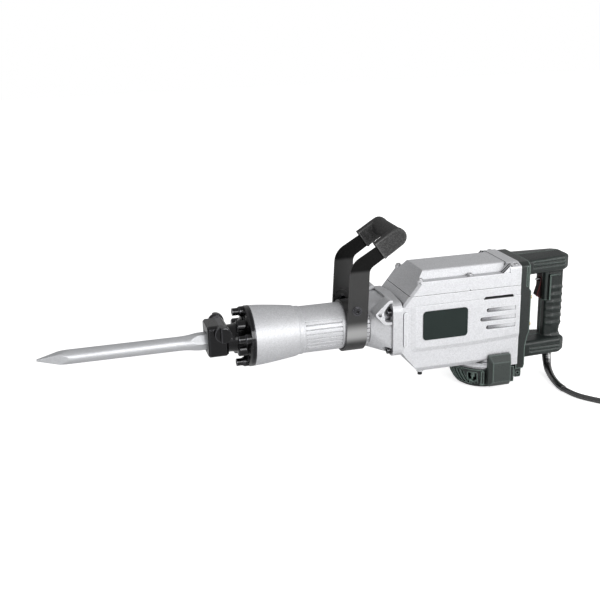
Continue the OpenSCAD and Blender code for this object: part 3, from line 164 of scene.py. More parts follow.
class Wire:
    """An output socket of a node graph."""

    def __init__(self, graph, socket):
        self.graph = graph
        self.socket = socket

    def maths(self, operation, *values):
        return self.graph.node("ShaderNodeMath", {"operation": operation}, dict(enumerate(values)))

    def __add__(self, other):
        return self.maths("ADD", self, other)

    def __radd__(self, other):
        return self.maths("ADD", other, self)

    def __sub__(self, other):
        return self.maths("SUBTRACT", self, other)

    def __rsub__(self, other):
        return self.maths("SUBTRACT", other, self)

    def __mul__(self, other):
        return self.maths("MULTIPLY", self, other)

    def __rmul__(self, other):
        return self.maths("MULTIPLY", other, self)

    def above(self, threshold, softness):
        """0 below the threshold and 1 above it, with a soft step."""
        settings = {"interpolation_type": "SMOOTHSTEP"}
        limits = {"Value": self, "From Min": threshold - softness, "From Max": threshold + softness}
        return self.graph.node("ShaderNodeMapRange", settings, limits)


class Graph:
    """A node tree, for a finish or for a shape, that node() fills."""

    def node(self, kind, settings=None, inputs=None, output=0):
        made = self.tree.nodes.new(kind)
        for name, value in (settings or {}).items():
            setattr(made, name, value)
        for key, value in (inputs or {}).items():
            self.join(made.inputs[key], value)
        return Wire(self, made.outputs[output])

    def join(self, socket, value):
        if isinstance(value, Wire):
            self.tree.links.new(value.socket, socket)
        elif socket.type == "RGBA" and len(value) == 3:
            socket.default_value = (*value, 1)
        else:
            socket.default_value = value


print(len([name for name in vars(Wire) if name.startswith("__r")]), "reflected operators")

# %% [markdown]
# A finish is a graph around one Principled shader. Its helpers give the patterns that a surface needs:
# noise, grains, rounded edges, and how closed in or how exposed a place is.

# %% A finish and its helpers


class Finish(Graph):
    """A material in the making, around one Principled shader."""

    CREVICE_LEVEL, CREVICE_SOFTNESS = 0.38, 0.17
    CORNER_LEVEL, CORNER_SOFTNESS = 0.18, 0.13

    def __init__(self, name, **sockets):
        self.material = bpy.data.materials.new(name)
        self.material.use_nodes = True
        self.tree = self.material.node_tree
        self.shader = self.tree.nodes["Principled BSDF"]
        self.place = self.node("ShaderNodeTexCoord", output="Object")
        for label, value in sockets.items():
            self.put(label.replace("_", " "), value)

    def put(self, label, value):
        self.join(self.shader.inputs[label], value)

    def noise(self, per_metre, detail=2.0, stretch=(1, 1, 1)):
        where = self.node("ShaderNodeMapping", None, {"Vector": self.place, "Scale": stretch})
        values = {"Vector": where, "Scale": per_metre, "Detail": detail}
        return self.node("ShaderNodeTexNoise", None, values)

    def grains(self, per_metre):
        """A random value for each grain of a fine pattern."""
        cells = self.node("ShaderNodeTexVoronoi", None, {"Vector": self.place, "Scale": per_metre}, "Color")
        return self.node("ShaderNodeSeparateColor", None, {"Color": cells})

    def blend(self, amount, first, second):
        return self.node("ShaderNodeMix", {"data_type": "RGBA"}, {0: amount, 6: first, 7: second}, 2)

    def round_edges(self, radius):
        """A normal that turns softly over each edge, as on a cast or moulded piece."""
        return self.node("ShaderNodeBevel", {"samples": 4}, {"Radius": radius})

    # Its mask is used to paint shade into crevices, grooves and seams.
    def crevices(self, reach):
        """1 deep in a groove or against another piece, and 0 on an open surface."""
        clear = self.node("ShaderNodeAmbientOcclusion", {"samples": 4}, {"Distance": reach}, "AO")
        return (1 - clear).above(self.CREVICE_LEVEL, self.CREVICE_SOFTNESS)

    # Its mask is used to paint outward edges pale: partly wear, partly a painted highlight.
    def corners(self, reach):
        """1 on an outward edge, found by looking inside the piece for a wall that turns away."""
        settings = {"samples": 4, "inside": True, "only_local": True}
        clear = self.node("ShaderNodeAmbientOcclusion", settings, {"Distance": reach}, "AO")
        return (1 - clear).above(self.CORNER_LEVEL, self.CORNER_SOFTNESS)

    def relief(self, height, depth, normal=None):
        values = {"Height": height, "Distance": depth}
        if normal:
            values["Normal"] = normal
        return self.node("ShaderNodeBump", None, values)


def shade(colour, factor):
    """A colour made darker or lighter."""
    return tuple(min(1.0, part * factor) for part in colour)


print("half grey, a tenth darker:", shade((0.5, 0.5, 0.5), 0.9))


# %% [markdown]
# ## Finishes
# The housings are cast aluminium under a metallic paint: small flakes of differing brightness in a clear
# binder. A fine grain of random cells gives the flakes, a slower noise the uneven spray, and a Bevel node
# rounds the edges as casting and paint do. Ambient occlusion finds the crevices, which get painted shade.
# Looking inside the piece, it finds the outward edges, which are painted pale: partly wear, partly a painted
# highlight.

# %% Metallic paint
AIR_SLOT_X, AIR_SLOT_Z, AIR_SLOT_FLOOR = (-0.035, 0.035), (0.1924, 0.1996), 0.0643
LOUVRE_X, LOUVRE_ROWS, LOUVRE_HALF, LOUVRE_FLOOR = (-0.044, 0.040), (0.1707, 0.1530, 0.1353), 0.0048, 0.0618
BACK_CUT_X, BACK_CUT_SIDES, BACK_CUT_FOOT = (0.0075, 0.0285), ((0.0592, 0.0638), (0.0527, 0.0573)), 0.2371
# Near-black grey of the painted shade in crevices, and how far that shade reaches.
CREVICE_SHADE_COLOUR = (0.030, 0.030, 0.034)
CREVICE_SHADE_REACH = 0.008
FLAKES_PER_METRE = 1500
CLUSTERS_PER_METRE = 620


def between(value, low, high, softness=0.0006):
    """1 where the value lies between two limits."""
    return value.above(low, softness) * (1 - value.above(high, softness))


def painted_slot_shade(finish):
    """Painted shade in the housing's air slot, its three louvres on each side and the two cuts at the back;
    the louvres get the most shade at their front ends.
    """
    x = finish.node("ShaderNodeSeparateXYZ", None, {"Vector": finish.place}, "X")
    y = finish.node("ShaderNodeSeparateXYZ", None, {"Vector": finish.place}, "Y")
    z = finish.node("ShaderNodeSeparateXYZ", None, {"Vector": finish.place}, "Z")
    out = y.maths("ABSOLUTE", y)
    slot_shade = between(x, *AIR_SLOT_X) * between(z, *AIR_SLOT_Z) * (1 - out.above(AIR_SLOT_FLOOR, 0.0004))
    for row in LOUVRE_ROWS:
        inside = between(x, *LOUVRE_X) * between(z, row - LOUVRE_HALF, row + LOUVRE_HALF)
        fading = 0.75 - x.above(-0.01, 0.05) * 0.5
        slot_shade = slot_shade + inside * (1 - out.above(LOUVRE_FLOOR, 0.0016)) * fading
    cuts = between(out, *BACK_CUT_SIDES[0]) + between(out, *BACK_CUT_SIDES[1])
    return slot_shade + between(x, *BACK_CUT_X) * cuts * z.above(BACK_CUT_FOOT, 0.0004)


def metallic_paint(name, colour, roughness, edge=0.0014, slots=False):
    finish = Finish(name)
    flakes = finish.grains(FLAKES_PER_METRE)
    clusters = finish.grains(CLUSTERS_PER_METRE)
    spray = finish.noise(38, 3)
    paint = flakes * 0.3 + clusters * 0.55 + spray * 0.15
    coat = finish.blend(paint, shade(colour, 0.84), shade(colour, 1.16))
    # Edges painted paler: partly wear, partly a painted highlight.
    edge_wear_and_highlight = finish.blend(finish.corners(0.0018) * 0.6, coat, shade(colour, 1.35))
    # Painted shade: crevices and seams are darkened to a near-black grey, and made less metallic and
    # rougher.
    painted_shade = finish.crevices(CREVICE_SHADE_REACH)
    # Here the painted shade of the slots is added to the painted shade of the crevices.
    if slots:
        painted_shade = painted_shade.maths("MAXIMUM", painted_shade, painted_slot_shade(finish))
    finish.put("Base Color", finish.blend(painted_shade * 0.92, edge_wear_and_highlight, CREVICE_SHADE_COLOUR))
    finish.put("Metallic", 0.62 - painted_shade * 0.5)
    finish.put("Roughness", roughness - 0.07 + flakes * 0.14 + painted_shade * 0.2)
    skin = finish.noise(420, 2) + flakes * 0.35
    finish.put("Normal", finish.relief(skin, 0.00006, finish.round_edges(edge)))
    return finish.material


print("louvres at", LOUVRE_ROWS, "m above the floor")

# %% [markdown]
# Blackened steel has a thin oiled film with scuffs, and its edges are painted pale: partly wear, partly a
# painted highlight. Ground steel keeps the fine lines of the wheel, and forged steel the pits of its
# shot-blasting.

# %% Steel


def black_steel(name, colour, roughness, edge=0.0010, coat=0.5):
    finish = Finish(name, Metallic=0.9, Coat_Weight=coat, Coat_Roughness=0.10)
    film = finish.noise(60, 4)
    scuffs = finish.noise(900, 2).above(0.66, 0.05)
    # Edges painted pale: partly wear, partly a painted highlight.
    wear_and_highlight = finish.corners(0.0020)
    finish.put("Base Color", finish.blend(scuffs * 0.3 + wear_and_highlight * 0.8, colour, shade(colour, 11)))
    finish.put("Roughness", roughness - 0.08 + film * 0.16)
    finish.put("Normal", finish.relief(finish.noise(500, 2), 0.00005, finish.round_edges(edge)))
    return finish.material


def ground_steel(name, colour, roughness, lay=(0.02, 1, 1), edge=0.0006):
    """Bright steel with the fine lines of the wheel that ground it."""
    finish = Finish(name, Metallic=1.0)
    lines = finish.noise(1600, 2, lay)
    stain = finish.noise(25, 3)
    finish.put("Base Color", finish.blend(stain, shade(colour, 0.86), shade(colour, 1.08)))
    finish.put("Roughness", roughness - 0.05 + lines * 0.14)
    finish.put("Normal", finish.relief(lines, 0.00003, finish.round_edges(edge)))
    return finish.material


def forged_steel(name, colour, roughness):
    """Shot-blasted steel: satin and pale, with cloudy patches and a fine pitted skin."""
    finish = Finish(name, Metallic=0.85)
    patches = finish.noise(55, 4, (0.25, 1, 1))
    pits = finish.grains(1100)
    cloudy = patches * 0.7 + pits * 0.3
    finish.put("Base Color", finish.blend(cloudy, shade(colour, 0.84), shade(colour, 1.12)))
    finish.put("Roughness", roughness - 0.06 + pits * 0.12)
    finish.put("Normal", finish.relief(pits, 0.00006, finish.round_edges(0.0012)))
    return finish.material


print("steel can be blackened, ground or forged")

# %% [markdown]
# Moulded plastic has a fine sandblasted grain from its mould. Its edges are painted pale, partly as wear and
# partly as a painted highlight, and its crevices get painted shade. Rubber is duller, with a coarser grain
# and dust in it, and its edges too are painted pale. The two straps of the side handle are coated black.
# Above their bend they carry painted shade and are near black; below it they are a mottled dark grey with a
# band of painted highlight level with the barrel's axis.

# %% Plastic, rubber and coatings


def moulded(
    name, colour, roughness, grain=1300, depth=0.00006, edge=0.0012, coat=0.0, edge_wear_and_highlight=None, gloss=0.5
):
    """Plastic with the fine grain of its mould. The grain is in cells per metre."""
    finish = Finish(name, Coat_Weight=coat, Coat_Roughness=0.12, Specular_IOR_Level=gloss)
    clouds = finish.noise(24, 3)
    texture = finish.grains(grain)
    tone = finish.blend(clouds, shade(colour, 0.82), shade(colour, 1.2))
    if edge_wear_and_highlight:
        # Edges painted pale: partly wear, partly a painted highlight.
        tone = finish.blend(finish.corners(0.0024) * 0.7, tone, edge_wear_and_highlight)
        # Painted shade: crevices are darkened almost to black.
        tone = finish.blend(finish.crevices(CREVICE_SHADE_REACH), tone, shade(colour, 0.05))
    finish.put("Base Color", tone)
    finish.put("Roughness", roughness - 0.05 + texture * 0.1)
    finish.put("Normal", finish.relief(texture, depth, finish.round_edges(edge)))
    return finish.material


def black_coat_shaded_above_bend(name, shaded_colour, lower_colour, bend_height, highlight_height):
    """A black coat with painted shade above the bend of a strap, and a band of painted highlight below it.
    """
    finish = Finish(name, Coat_Weight=0.12, Coat_Roughness=0.22)
    height = finish.node("ShaderNodeSeparateXYZ", None, {"Vector": finish.place}, "Z")
    # Painted shade: above the bend the coat is near black and metallic, so it reflects almost nothing.
    shaded_above_bend = height.above(bend_height, 0.004)
    dust = finish.noise(45, 3)
    grey = finish.blend(dust, shade(lower_colour, 0.8), shade(lower_colour, 1.2))
    # Painted highlight: a lighter band around the given height.
    painted_highlight = height.above(highlight_height - 0.015, 0.010) * (1 - height.above(highlight_height + 0.012, 0.012))
    grey = finish.blend(painted_highlight, grey, shade(lower_colour, 16))
    finish.put("Base Color", finish.blend(shaded_above_bend, grey, shaded_colour))
    finish.put("Metallic", shaded_above_bend * 0.9)
    texture = finish.grains(700)
    finish.put("Roughness", 0.34 + texture * 0.08)
    finish.put("Normal", finish.relief(texture, 0.00006, finish.round_edges(0.0007)))
    return finish.material


def speckled_rubber(name, colour):
    """Rubber with lighter specks of the powder that keeps it from sticking in its mould."""
    finish = Finish(name, Specular_IOR_Level=0.35)
    specks = finish.grains(700)
    dust = finish.noise(30, 3)
    light = specks.above(0.66, 0.16) * (0.3 + dust * 0.6)
    tone = finish.blend(light, colour, shade(colour, 3.4))
    # Edges painted paler: partly wear, partly a painted highlight.
    finish.put("Base Color", finish.blend(finish.corners(0.0028) * 0.8, tone, shade(colour, 8)))
    finish.put("Roughness", 0.56 + specks * 0.16)
    finish.put("Normal", finish.relief(specks, 0.00018))
    return finish.material


def plain_metal(name, colour, roughness):
    """Drawn or turned metal that carries a thin, uneven tarnish."""
    finish = Finish(name, Metallic=1.0)
    tone = finish.noise(45, 3)
    finish.put("Base Color", finish.blend(tone, shade(colour, 0.8), shade(colour, 1.15)))
    finish.put("Roughness", roughness + 0.1 * tone)
    return finish.material


print("materials so far:", len(bpy.data.materials))

# %% [markdown]
# ## Finish of every part
# The record names a material slot for each solid, and each slot gets one finish. Most finishes take a
# name, a colour and a roughness.

# %% Give each solid its finish
SILVER = (0.68, 0.685, 0.705)
DARK_GREEN = (0.014, 0.018, 0.017)
# Pale green of the plastic's edges: partly wear, partly a painted highlight.
GREEN_EDGE = (0.190, 0.260, 0.230)
BLACKED = (0.009, 0.009, 0.010)
EVEN = (1, 1, 1)
ACROSS = (1, 1, 0.05)
PAINT_ROUGHNESS = 0.56
# Heights of the straps' bend, above which shade is painted, and of their band of painted highlight.
STRAP_BEND_HEIGHT = 0.270
STRAP_HIGHLIGHT_HEIGHT = 0.150

finishes = {
    "cast_silver": metallic_paint("silver metallic paint", SILVER, PAINT_ROUGHNESS),
    "holder_steel": black_steel("blackened steel", BLACKED, 0.25),
    "black_screw": black_steel("black screw steel", BLACKED, 0.24, edge=0.0005),
    "bright_steel": ground_steel("ground steel", (0.66, 0.67, 0.69), 0.20),
    "plain_screw": ground_steel("zinc-plated screw steel", (0.68, 0.68, 0.69), 0.34, lay=EVEN, edge=0.0004),
    "label": moulded(
        "bare label plate", (0.014, 0.022, 0.020), 0.38, grain=900, depth=0.00003, edge=0.0005, gloss=0.2
    ),
    "dark_plastic": moulded("dark green-grey plastic", DARK_GREEN, 0.32, edge_wear_and_highlight=GREEN_EDGE),
    "strap_black": black_coat_shaded_above_bend(
        "black coat, painted shade above the bend", (0.005, 0.005, 0.005), (0.020, 0.020, 0.020),
        STRAP_BEND_HEIGHT, STRAP_HIGHLIGHT_HEIGHT,
    ),
    "grip_rubber": speckled_rubber("speckled grip rubber", (0.026, 0.026, 0.026)),
    "trigger_red": moulded(
        "dark red plastic", (0.012, 0.0012, 0.0017), 0.36,
        grain=1500, depth=0.00002, edge=0.0010, edge_wear_and_highlight=(0.12, 0.012, 0.012), gloss=0.3,
    ),
    "switch_black": moulded("black plastic", (0.014, 0.014, 0.015), 0.45, edge_wear_and_highlight=(0.06, 0.06, 0.06)),
    "machined_steel": ground_steel("machined steel", (0.42, 0.42, 0.43), 0.35, lay=ACROSS),
    "hard_steel": ground_steel("hardened steel", (0.36, 0.36, 0.37), 0.26, lay=ACROSS),
    "copper": plain_metal("copper wire", (0.62, 0.30, 0.15), 0.35),
    "brush_brass": plain_metal("brass", (0.60, 0.45, 0.18), 0.32),
    "carbon": moulded("carbon", (0.016, 0.016, 0.017), 0.7, grain=2200, depth=0.00005),
    "cord_rubber": moulded(
        "cord sheath", (0.010, 0.010, 0.010), 0.24,
        grain=1800, depth=0.00003, edge=0.0005, coat=1.0, gloss=1.0,
    ),
}
for row in frame["record"]["subparts"]:
    solid = nodes[row["node"]]
    solid.data.materials.clear()
    solid.data.materials.append(finishes[row["material_slot"]])

print(len(finishes), "finishes")

# %% [markdown]
# A few parts differ from the rest of their slot: the housings with painted shade in their slots, a darker
# copy of the paint on casing and barrel as painted shade, the duller rear handle, a paler copy of the
# plastic on the brush covers as painted light, the forged chisel and the yellow screws in the handle base.

# %% Parts with a finish of their own


def refinish(finish, *names):
    """Gives some solids a finish of their own instead of their slot's."""
    for name in names:
        nodes[name].data.materials[0] = finish


# Painted shade: the motor housing and crank cover get painted shade in their slots.
shade_painted = metallic_paint("silver paint, sooty in its slots", SILVER, PAINT_ROUGHNESS, slots=True)
refinish(shade_painted, "motor_housing", "crank_cover")
# Painted shade: casing and barrel get a darker copy of the same silver paint.
painted_darker = metallic_paint("silver paint, thin on the casing", shade(SILVER, 0.91), PAINT_ROUGHNESS)
refinish(painted_darker, "front_casing", "cylinder_case")
duller = moulded("plastic of the rear handle", DARK_GREEN, 0.32, edge_wear_and_highlight=GREEN_EDGE, gloss=0.4)
refinish(duller, "handle_left", "handle_right")
# Painted light: the brush covers get a lighter copy of the dark plastic.
painted_lighter = moulded("plastic of the brush covers", (0.036, 0.044, 0.041), 0.32, edge_wear_and_highlight=GREEN_EDGE)
refinish(painted_lighter, "brush_cover_left", "brush_cover_right")
refinish(forged_steel("forged chisel steel", (0.66, 0.67, 0.69), 0.42), "chisel")
yellow_zinc = ground_steel("yellow zinc-plated steel", (0.60, 0.47, 0.22), 0.34, lay=EVEN, edge=0.0004)
refinish(yellow_zinc, "base_screws")
print(len(bpy.data.materials), "materials")

# %% [markdown]
# ## Floor
# The floor is pale and matt. Its own light lifts it to white where no shadow falls, and grows with the
# distance, so that the floor runs into the white room without a line.

# %% Floor
FLOOR_SIDE = 14.0
FLOOR_GLOW = 0.74
FAR_FLOOR_GLOW = 0.26
floor_mesh = bpy.data.meshes.new("floor")
edge = FLOOR_SIDE / 2
corners = [(-edge, -edge, 0), (edge, -edge, 0), (edge, edge, 0), (-edge, edge, 0)]
floor_mesh.from_pydata(corners, [], [(0, 1, 2, 3)])
floor = bpy.data.objects.new("floor", floor_mesh)
bpy.context.scene.collection.objects.link(floor)
floor_finish = Finish("pale floor", Base_Color=(0.80, 0.80, 0.80), Roughness=0.9)
eye_ray = floor_finish.node("ShaderNodeLightPath", output="Is Camera Ray")
floor_finish.put("Emission Color", (1, 1, 1))
away = floor_finish.node("ShaderNodeVectorMath", {"operation": "LENGTH"}, {0: floor_finish.place}, "Value")
floor_finish.put("Emission Strength", eye_ray * (FLOOR_GLOW + away.above(1.6, 1.0) * FAR_FLOOR_GLOW))
floor_mesh.materials.append(floor_finish.material)
print("floor", FLOOR_SIDE, "m wide")

# %% [markdown]
# ## Power cord
# The cord leaves the lower arm of the handle through a rubber guard, falls to the floor and runs out to
# the right, where its spare length is wound into a flat coil of two layers. It is one spline with a round
# profile, so its length and bends can be measured. Turns in a coil are circles that all shift by one
# cord's width in the same short sector, and that is how they are worked out here.

# %% Cord route
CORD_D = 0.011
COIL_D = 0.126
COIL_CENTRE = Vector((0.275, -0.238, 0))
COLUMNS = 3
EXIT = (0.149, 0.0, 0.0468)
LEAD = [
    (0.149, 0.000, 0.0435), (0.148, -0.004, 0.0350), (0.146, -0.010, 0.0250), (0.143, -0.018, 0.0165),
    (0.140, -0.028, 0.0110), (0.137, -0.040, 0.0082), (0.133, -0.053, 0.0072), (0.129, -0.067, 0.0070),
    (0.125, -0.084, 0.0070), (0.122, -0.102, 0.0070), (0.122, -0.120, 0.0070), (0.126, -0.138, 0.0062),
    (0.133, -0.155, 0.0055), (0.143, -0.171, 0.0055), (0.155, -0.186, 0.0055), (0.167, -0.201, 0.0055),
    (0.178, -0.217, 0.0055), (0.189, -0.233, 0.0055), (0.199, -0.250, 0.0055),
]
TAIL = [
    (0.293, -0.313, 0.0165), (0.312, -0.311, 0.0135), (0.331, -0.304, 0.0100), (0.347, -0.292, 0.0075),
    (0.360, -0.276, 0.0060), (0.369, -0.256, 0.0055), (0.372, -0.236, 0.0055),
]
START_ANGLE = 204
END_ANGLE = 270
SHIFT_ANGLE = 70
STEPS = 20


def coil_point(angle):
    """Where the winding is after turning by an angle, in degrees, from its start."""
    turn, within = divmod(angle, 360)
    shift = max(0.0, (within - (360 - SHIFT_ANGLE)) / SHIFT_ANGLE)
    step = turn + shift * shift * (3 - 2 * shift)
    outer = COIL_D / 2 + (COLUMNS - 1) / 2 * CORD_D
    column = step if step <= COLUMNS - 1 else max(COLUMNS - 1, 0) - max(0, step - COLUMNS)
    layer = min(1.0, max(0.0, step - (COLUMNS - 1)))
    radius = outer - column * CORD_D
    a = math.radians(START_ANGLE + angle)
    height = CORD_D * (0.5 + layer)
    return COIL_CENTRE + Vector((radius * math.cos(a), radius * math.sin(a), height))


whole_angle = (2 * COLUMNS - 1) * 360 + END_ANGLE - START_ANGLE
count = round(whole_angle / 360 * STEPS)
turns = [coil_point(whole_angle * i / count) for i in range(count + 1)]
route = [Vector(EXIT)] + [Vector(p) for p in LEAD] + turns + [Vector(p) for p in TAIL]
print(len(route), "points,", count, "of them in the coil")

# %% [markdown]
# ## Repeated shapes
# Rings, ribs and washers repeat one shape at a regular step, which is work for Geometry Nodes. A recipe is
# one such tree with named sizes. It runs on a piece that holds only the points to follow, and the result
# is baked into the piece's mesh, so nothing is left to work out later.

# %% A recipe for a repeated shape


def bake_modifiers(piece):
    """Turns what the modifiers make into the piece's own mesh."""
    graph = bpy.context.evaluated_depsgraph_get()
    baked = bpy.data.meshes.new_from_object(piece.evaluated_get(graph))
    if baked.materials and baked.materials[0] is None:
        baked.materials.pop(index=0)
    old = piece.data
    piece.modifiers.clear()
    piece.data = baked
    bpy.data.meshes.remove(old)
    return piece


class Recipe(Graph):
    """A Geometry Nodes tree with named sizes."""

    def __init__(self, name, *sizes):
        self.tree = bpy.data.node_groups.new(name, "GeometryNodeTree")
        face = self.tree.interface
        face.new_socket(name="Geometry", in_out="INPUT", socket_type="NodeSocketGeometry")
        face.new_socket(name="Geometry", in_out="OUTPUT", socket_type="NodeSocketGeometry")
        self.keys = {}
        for label in sizes:
            kind = "NodeSocketInt" if label == "Count" else "NodeSocketFloat"
            self.keys[label] = face.new_socket(name=label, in_out="INPUT", socket_type=kind).identifier
        self.start = self.tree.nodes.new("NodeGroupInput")

    def given(self, label):
        return Wire(self, self.start.outputs[label])

    def close(self, shape, material):
        whole = self.node("GeometryNodeRealizeInstances", None, {"Geometry": shape})
        coated = self.node("GeometryNodeSetMaterial", None, {"Geometry": whole, "Material": material})
        end = self.tree.nodes.new("NodeGroupOutput")
        self.join(end.inputs["Geometry"], coated)

    def run(self, piece, **values):
        modifier = piece.modifiers.new(self.tree.name, "NODES")
        modifier.node_group = self.tree
        for label, value in values.items():
            modifier[self.keys[label]] = value
        return bake_modifiers(piece)


def path_piece(name, points, joined=True):
    """A piece with only the points that a recipe follows."""
    mesh = bpy.data.meshes.new(name)
    edges = [(i, i + 1) for i in range(len(points) - 1)] if joined else []
    mesh.from_pydata([tuple(point) for point in points], edges, [])
    piece = bpy.data.objects.new(name, mesh)
    bpy.context.scene.collection.objects.link(piece)
    return piece


print("recipes so far:", len(bpy.data.node_groups))

# %% [markdown]
# The plug is a turned moulding with a waist for the fingers and two round pins. A Screw modifier could turn
# its profile. Here rings of points are joined in code, which closes both ends in single points and lets the
# pins have their own finish.

# %% Turned plug
PLUG_BACK = Vector((0.372, -0.236, 0.018))
PLUG_PROFILE = [
    (0.0, 0.0), (0.0, 8.6), (2.0, 10.4), (8.0, 12.2), (14.0, 13.2), (19.0, 13.8), (24.0, 15.4), (28.0, 17.4),
    (31.0, 18.0), (33.0, 17.9), (33.6, 17.1), (34.8, 17.1), (35.4, 17.9), (37.4, 17.9), (38.0, 17.1),
    (39.2, 17.1), (39.8, 17.9), (44.6, 18.0), (45.7, 17.4), (46.0, 16.4), (46.0, 0.0),
]
PIN_OFFSET_MM = 9.5
PLUG_SIDES = 48
PIN_SIDES = 24
PIN_PROFILE = [(44.0, 0.0), (44.0, 2.4), (62.6, 2.4), (64.2, 1.9), (65.0, 0.9), (65.0, 0.0)]


def turned(shape, profile, centre, sides, material_index):
    """Adds a solid of revolution along Y to a bmesh. The profile is (along, radius) in millimetres."""
    rings = []
    for along, radius in profile:
        here = centre + Vector((0, along / 1000, 0))
        if radius == 0:
            rings.append([shape.verts.new(here)])
            continue
        angles = [2 * math.pi * k / sides for k in range(sides)]
        spokes = [Vector((math.sin(a), 0, math.cos(a))) * radius / 1000 for a in angles]
        rings.append([shape.verts.new(here + spoke) for spoke in spokes])
    for back, front in zip(rings, rings[1:]):
        for k in range(sides):
            corners = [back[k % len(back)], back[(k + 1) % len(back)]]
            corners += [front[(k + 1) % len(front)], front[k % len(front)]]
            face = shape.faces.new(list(dict.fromkeys(corners)))
            face.material_index = material_index
            face.smooth = True


shape = bmesh.new()
turned(shape, PLUG_PROFILE, PLUG_BACK, PLUG_SIDES, 0)
for side in (-PIN_OFFSET_MM, PIN_OFFSET_MM):
    turned(shape, PIN_PROFILE, PLUG_BACK + Vector((side / 1000, 0, 0)), PIN_SIDES, 1)
bmesh.ops.recalc_face_normals(shape, faces=shape.faces)
plug_mesh = bpy.data.meshes.new("plug_body")
shape.to_mesh(plug_mesh)
shape.free()
plug_mesh.materials.append(finishes["switch_black"])
plug_mesh.materials.append(finishes["brush_brass"])
plug_mesh.set_sharp_from_angle(angle=math.radians(40))
plug = bpy.data.objects.new("plug_body", plug_mesh)
bpy.context.scene.collection.objects.link(plug)

print("plug", len(plug_mesh.polygons), "faces")

# %% [markdown]
# The sleeve droops from the plug with the cord: a soft cone with ribs, narrower towards the cord. The
# recipe sweeps a disc along the sleeve's line for the cone, and sets a thin ring at every step for the ribs.

# %% Ribbed sleeve
sleeve = Recipe("ribbed sleeve", "Thick end", "Thin end", "Count")
line = sleeve.node("GeometryNodeMeshToCurve", None, {"Mesh": sleeve.given("Geometry")})
smooth_line = sleeve.node("GeometryNodeResampleCurve", None, {"Curve": line, "Count": 28})
along = sleeve.node("GeometryNodeSplineParameter")
ends = {"Value": along, "To Min": sleeve.given("Thick end"), "To Max": sleeve.given("Thin end")}
radius = sleeve.node("ShaderNodeMapRange", None, ends)
swollen = sleeve.node("GeometryNodeSetCurveRadius", None, {"Curve": smooth_line, "Radius": radius})
disc = sleeve.node("GeometryNodeCurvePrimitiveCircle", None, {"Resolution": 28, "Radius": 1.0}, "Curve")
reach = sleeve.node("GeometryNodeInputRadius")
cone = {"Curve": swollen, "Profile Curve": disc, "Scale": reach, "Fill Caps": True}
core = sleeve.node("GeometryNodeCurveToMesh", None, cone)
steps = {"Curve": swollen, "Count": sleeve.given("Count")}
spots = sleeve.node("GeometryNodeCurveToPoints", None, steps, "Points")
turns_to = Wire(sleeve, spots.socket.node.outputs["Rotation"])
bead = sleeve.node("GeometryNodeCurvePrimitiveCircle", None, {"Resolution": 8, "Radius": 0.11}, "Curve")
ring = sleeve.node("GeometryNodeCurveToMesh", None, {"Curve": disc, "Profile Curve": bead})
placed = {"Points": spots, "Instance": ring, "Rotation": turns_to, "Scale": reach}
ribs = sleeve.node("GeometryNodeInstanceOnPoints", None, placed)
both = sleeve.node("GeometryNodeJoinGeometry", None, {"Geometry": core})
sleeve.join(both.socket.node.inputs["Geometry"], ribs)
sleeve.close(both, finishes["switch_black"])

SLEEVE_LINE = [
    (0.372, -0.234, 0.0165), (0.3715, -0.241, 0.0140), (0.3705, -0.250, 0.0110), (0.3690, -0.262, 0.0082),
]
plug_sleeve = path_piece("plug_sleeve", SLEEVE_LINE)
sleeve.run(plug_sleeve, **{"Thick end": 0.0115, "Thin end": 0.0070, "Count": 6})
plug_sleeve.data.shade_smooth()
print("sleeve", len(plug_sleeve.data.polygons), "faces")

# %% [markdown]
# The cord itself is the spline with a round profile, and the plug and sleeve lie on its far end.

# %% Cord
cord_curve = bpy.data.curves.new("power_cord", "CURVE")
cord_curve.dimensions = "3D"
cord_curve.bevel_depth = CORD_D / 2
cord_curve.bevel_resolution = 6
cord_curve.resolution_u = 3
cord_curve.use_fill_caps = True
spline = cord_curve.splines.new("BEZIER")
spline.bezier_points.add(len(route) - 1)
for knot, point in zip(spline.bezier_points, route):
    knot.co = point
    knot.handle_left_type = "AUTO"
    knot.handle_right_type = "AUTO"
cord = bpy.data.objects.new("power_cord", cord_curve)
bpy.context.scene.collection.objects.link(cord)
cord_curve.materials.append(finishes["cord_rubber"])
bpy.context.view_layer.update()
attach(cord, "frame")
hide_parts("cord", "cord_coil")
for piece in (plug, plug_sleeve):
    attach(piece, "frame")
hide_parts("plug")

# %% [markdown]
# ## Moulded pieces
# Plastic and rubber leave their mould with a radius on every edge, while the solids have sharp ones. The
# copy of a solid is rebuilt in even small faces and then smoothed, which rounds all its edges alike and
# leaves its size. It takes the solid's place, and the solid stays for collision.

# %% A moulded copy of a solid


def moulded_copy(name, source, body, face_size, passes):
    shape = bmesh.new()
    shape.from_mesh(nodes[source].data)
    bmesh.ops.remove_doubles(shape, verts=shape.verts, dist=1e-6)
    mesh = bpy.data.meshes.new(name)
    shape.to_mesh(mesh)
    shape.free()
    piece = bpy.data.objects.new(name, mesh)
    bpy.context.scene.collection.objects.link(piece)
    even = piece.modifiers.new("even faces", "REMESH")
    even.mode = "VOXEL"
    even.voxel_size = face_size
    soften = piece.modifiers.new("soften", "SMOOTH")
    soften.factor = 0.5
    soften.iterations = passes
    bake_modifiers(piece)
    piece.data.shade_smooth()
    piece.data.materials.clear()
    piece.data.materials.append(nodes[source].data.materials[0])
    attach(piece, body)
    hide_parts(source)
    print(name, len(piece.data.polygons), "faces")
    return piece


# %% [markdown]
# Few passes leave the ribs of the rear handle crisp. The rubber grip gets the most and is the roundest. The
# cord guard is small, so its faces are the finest.

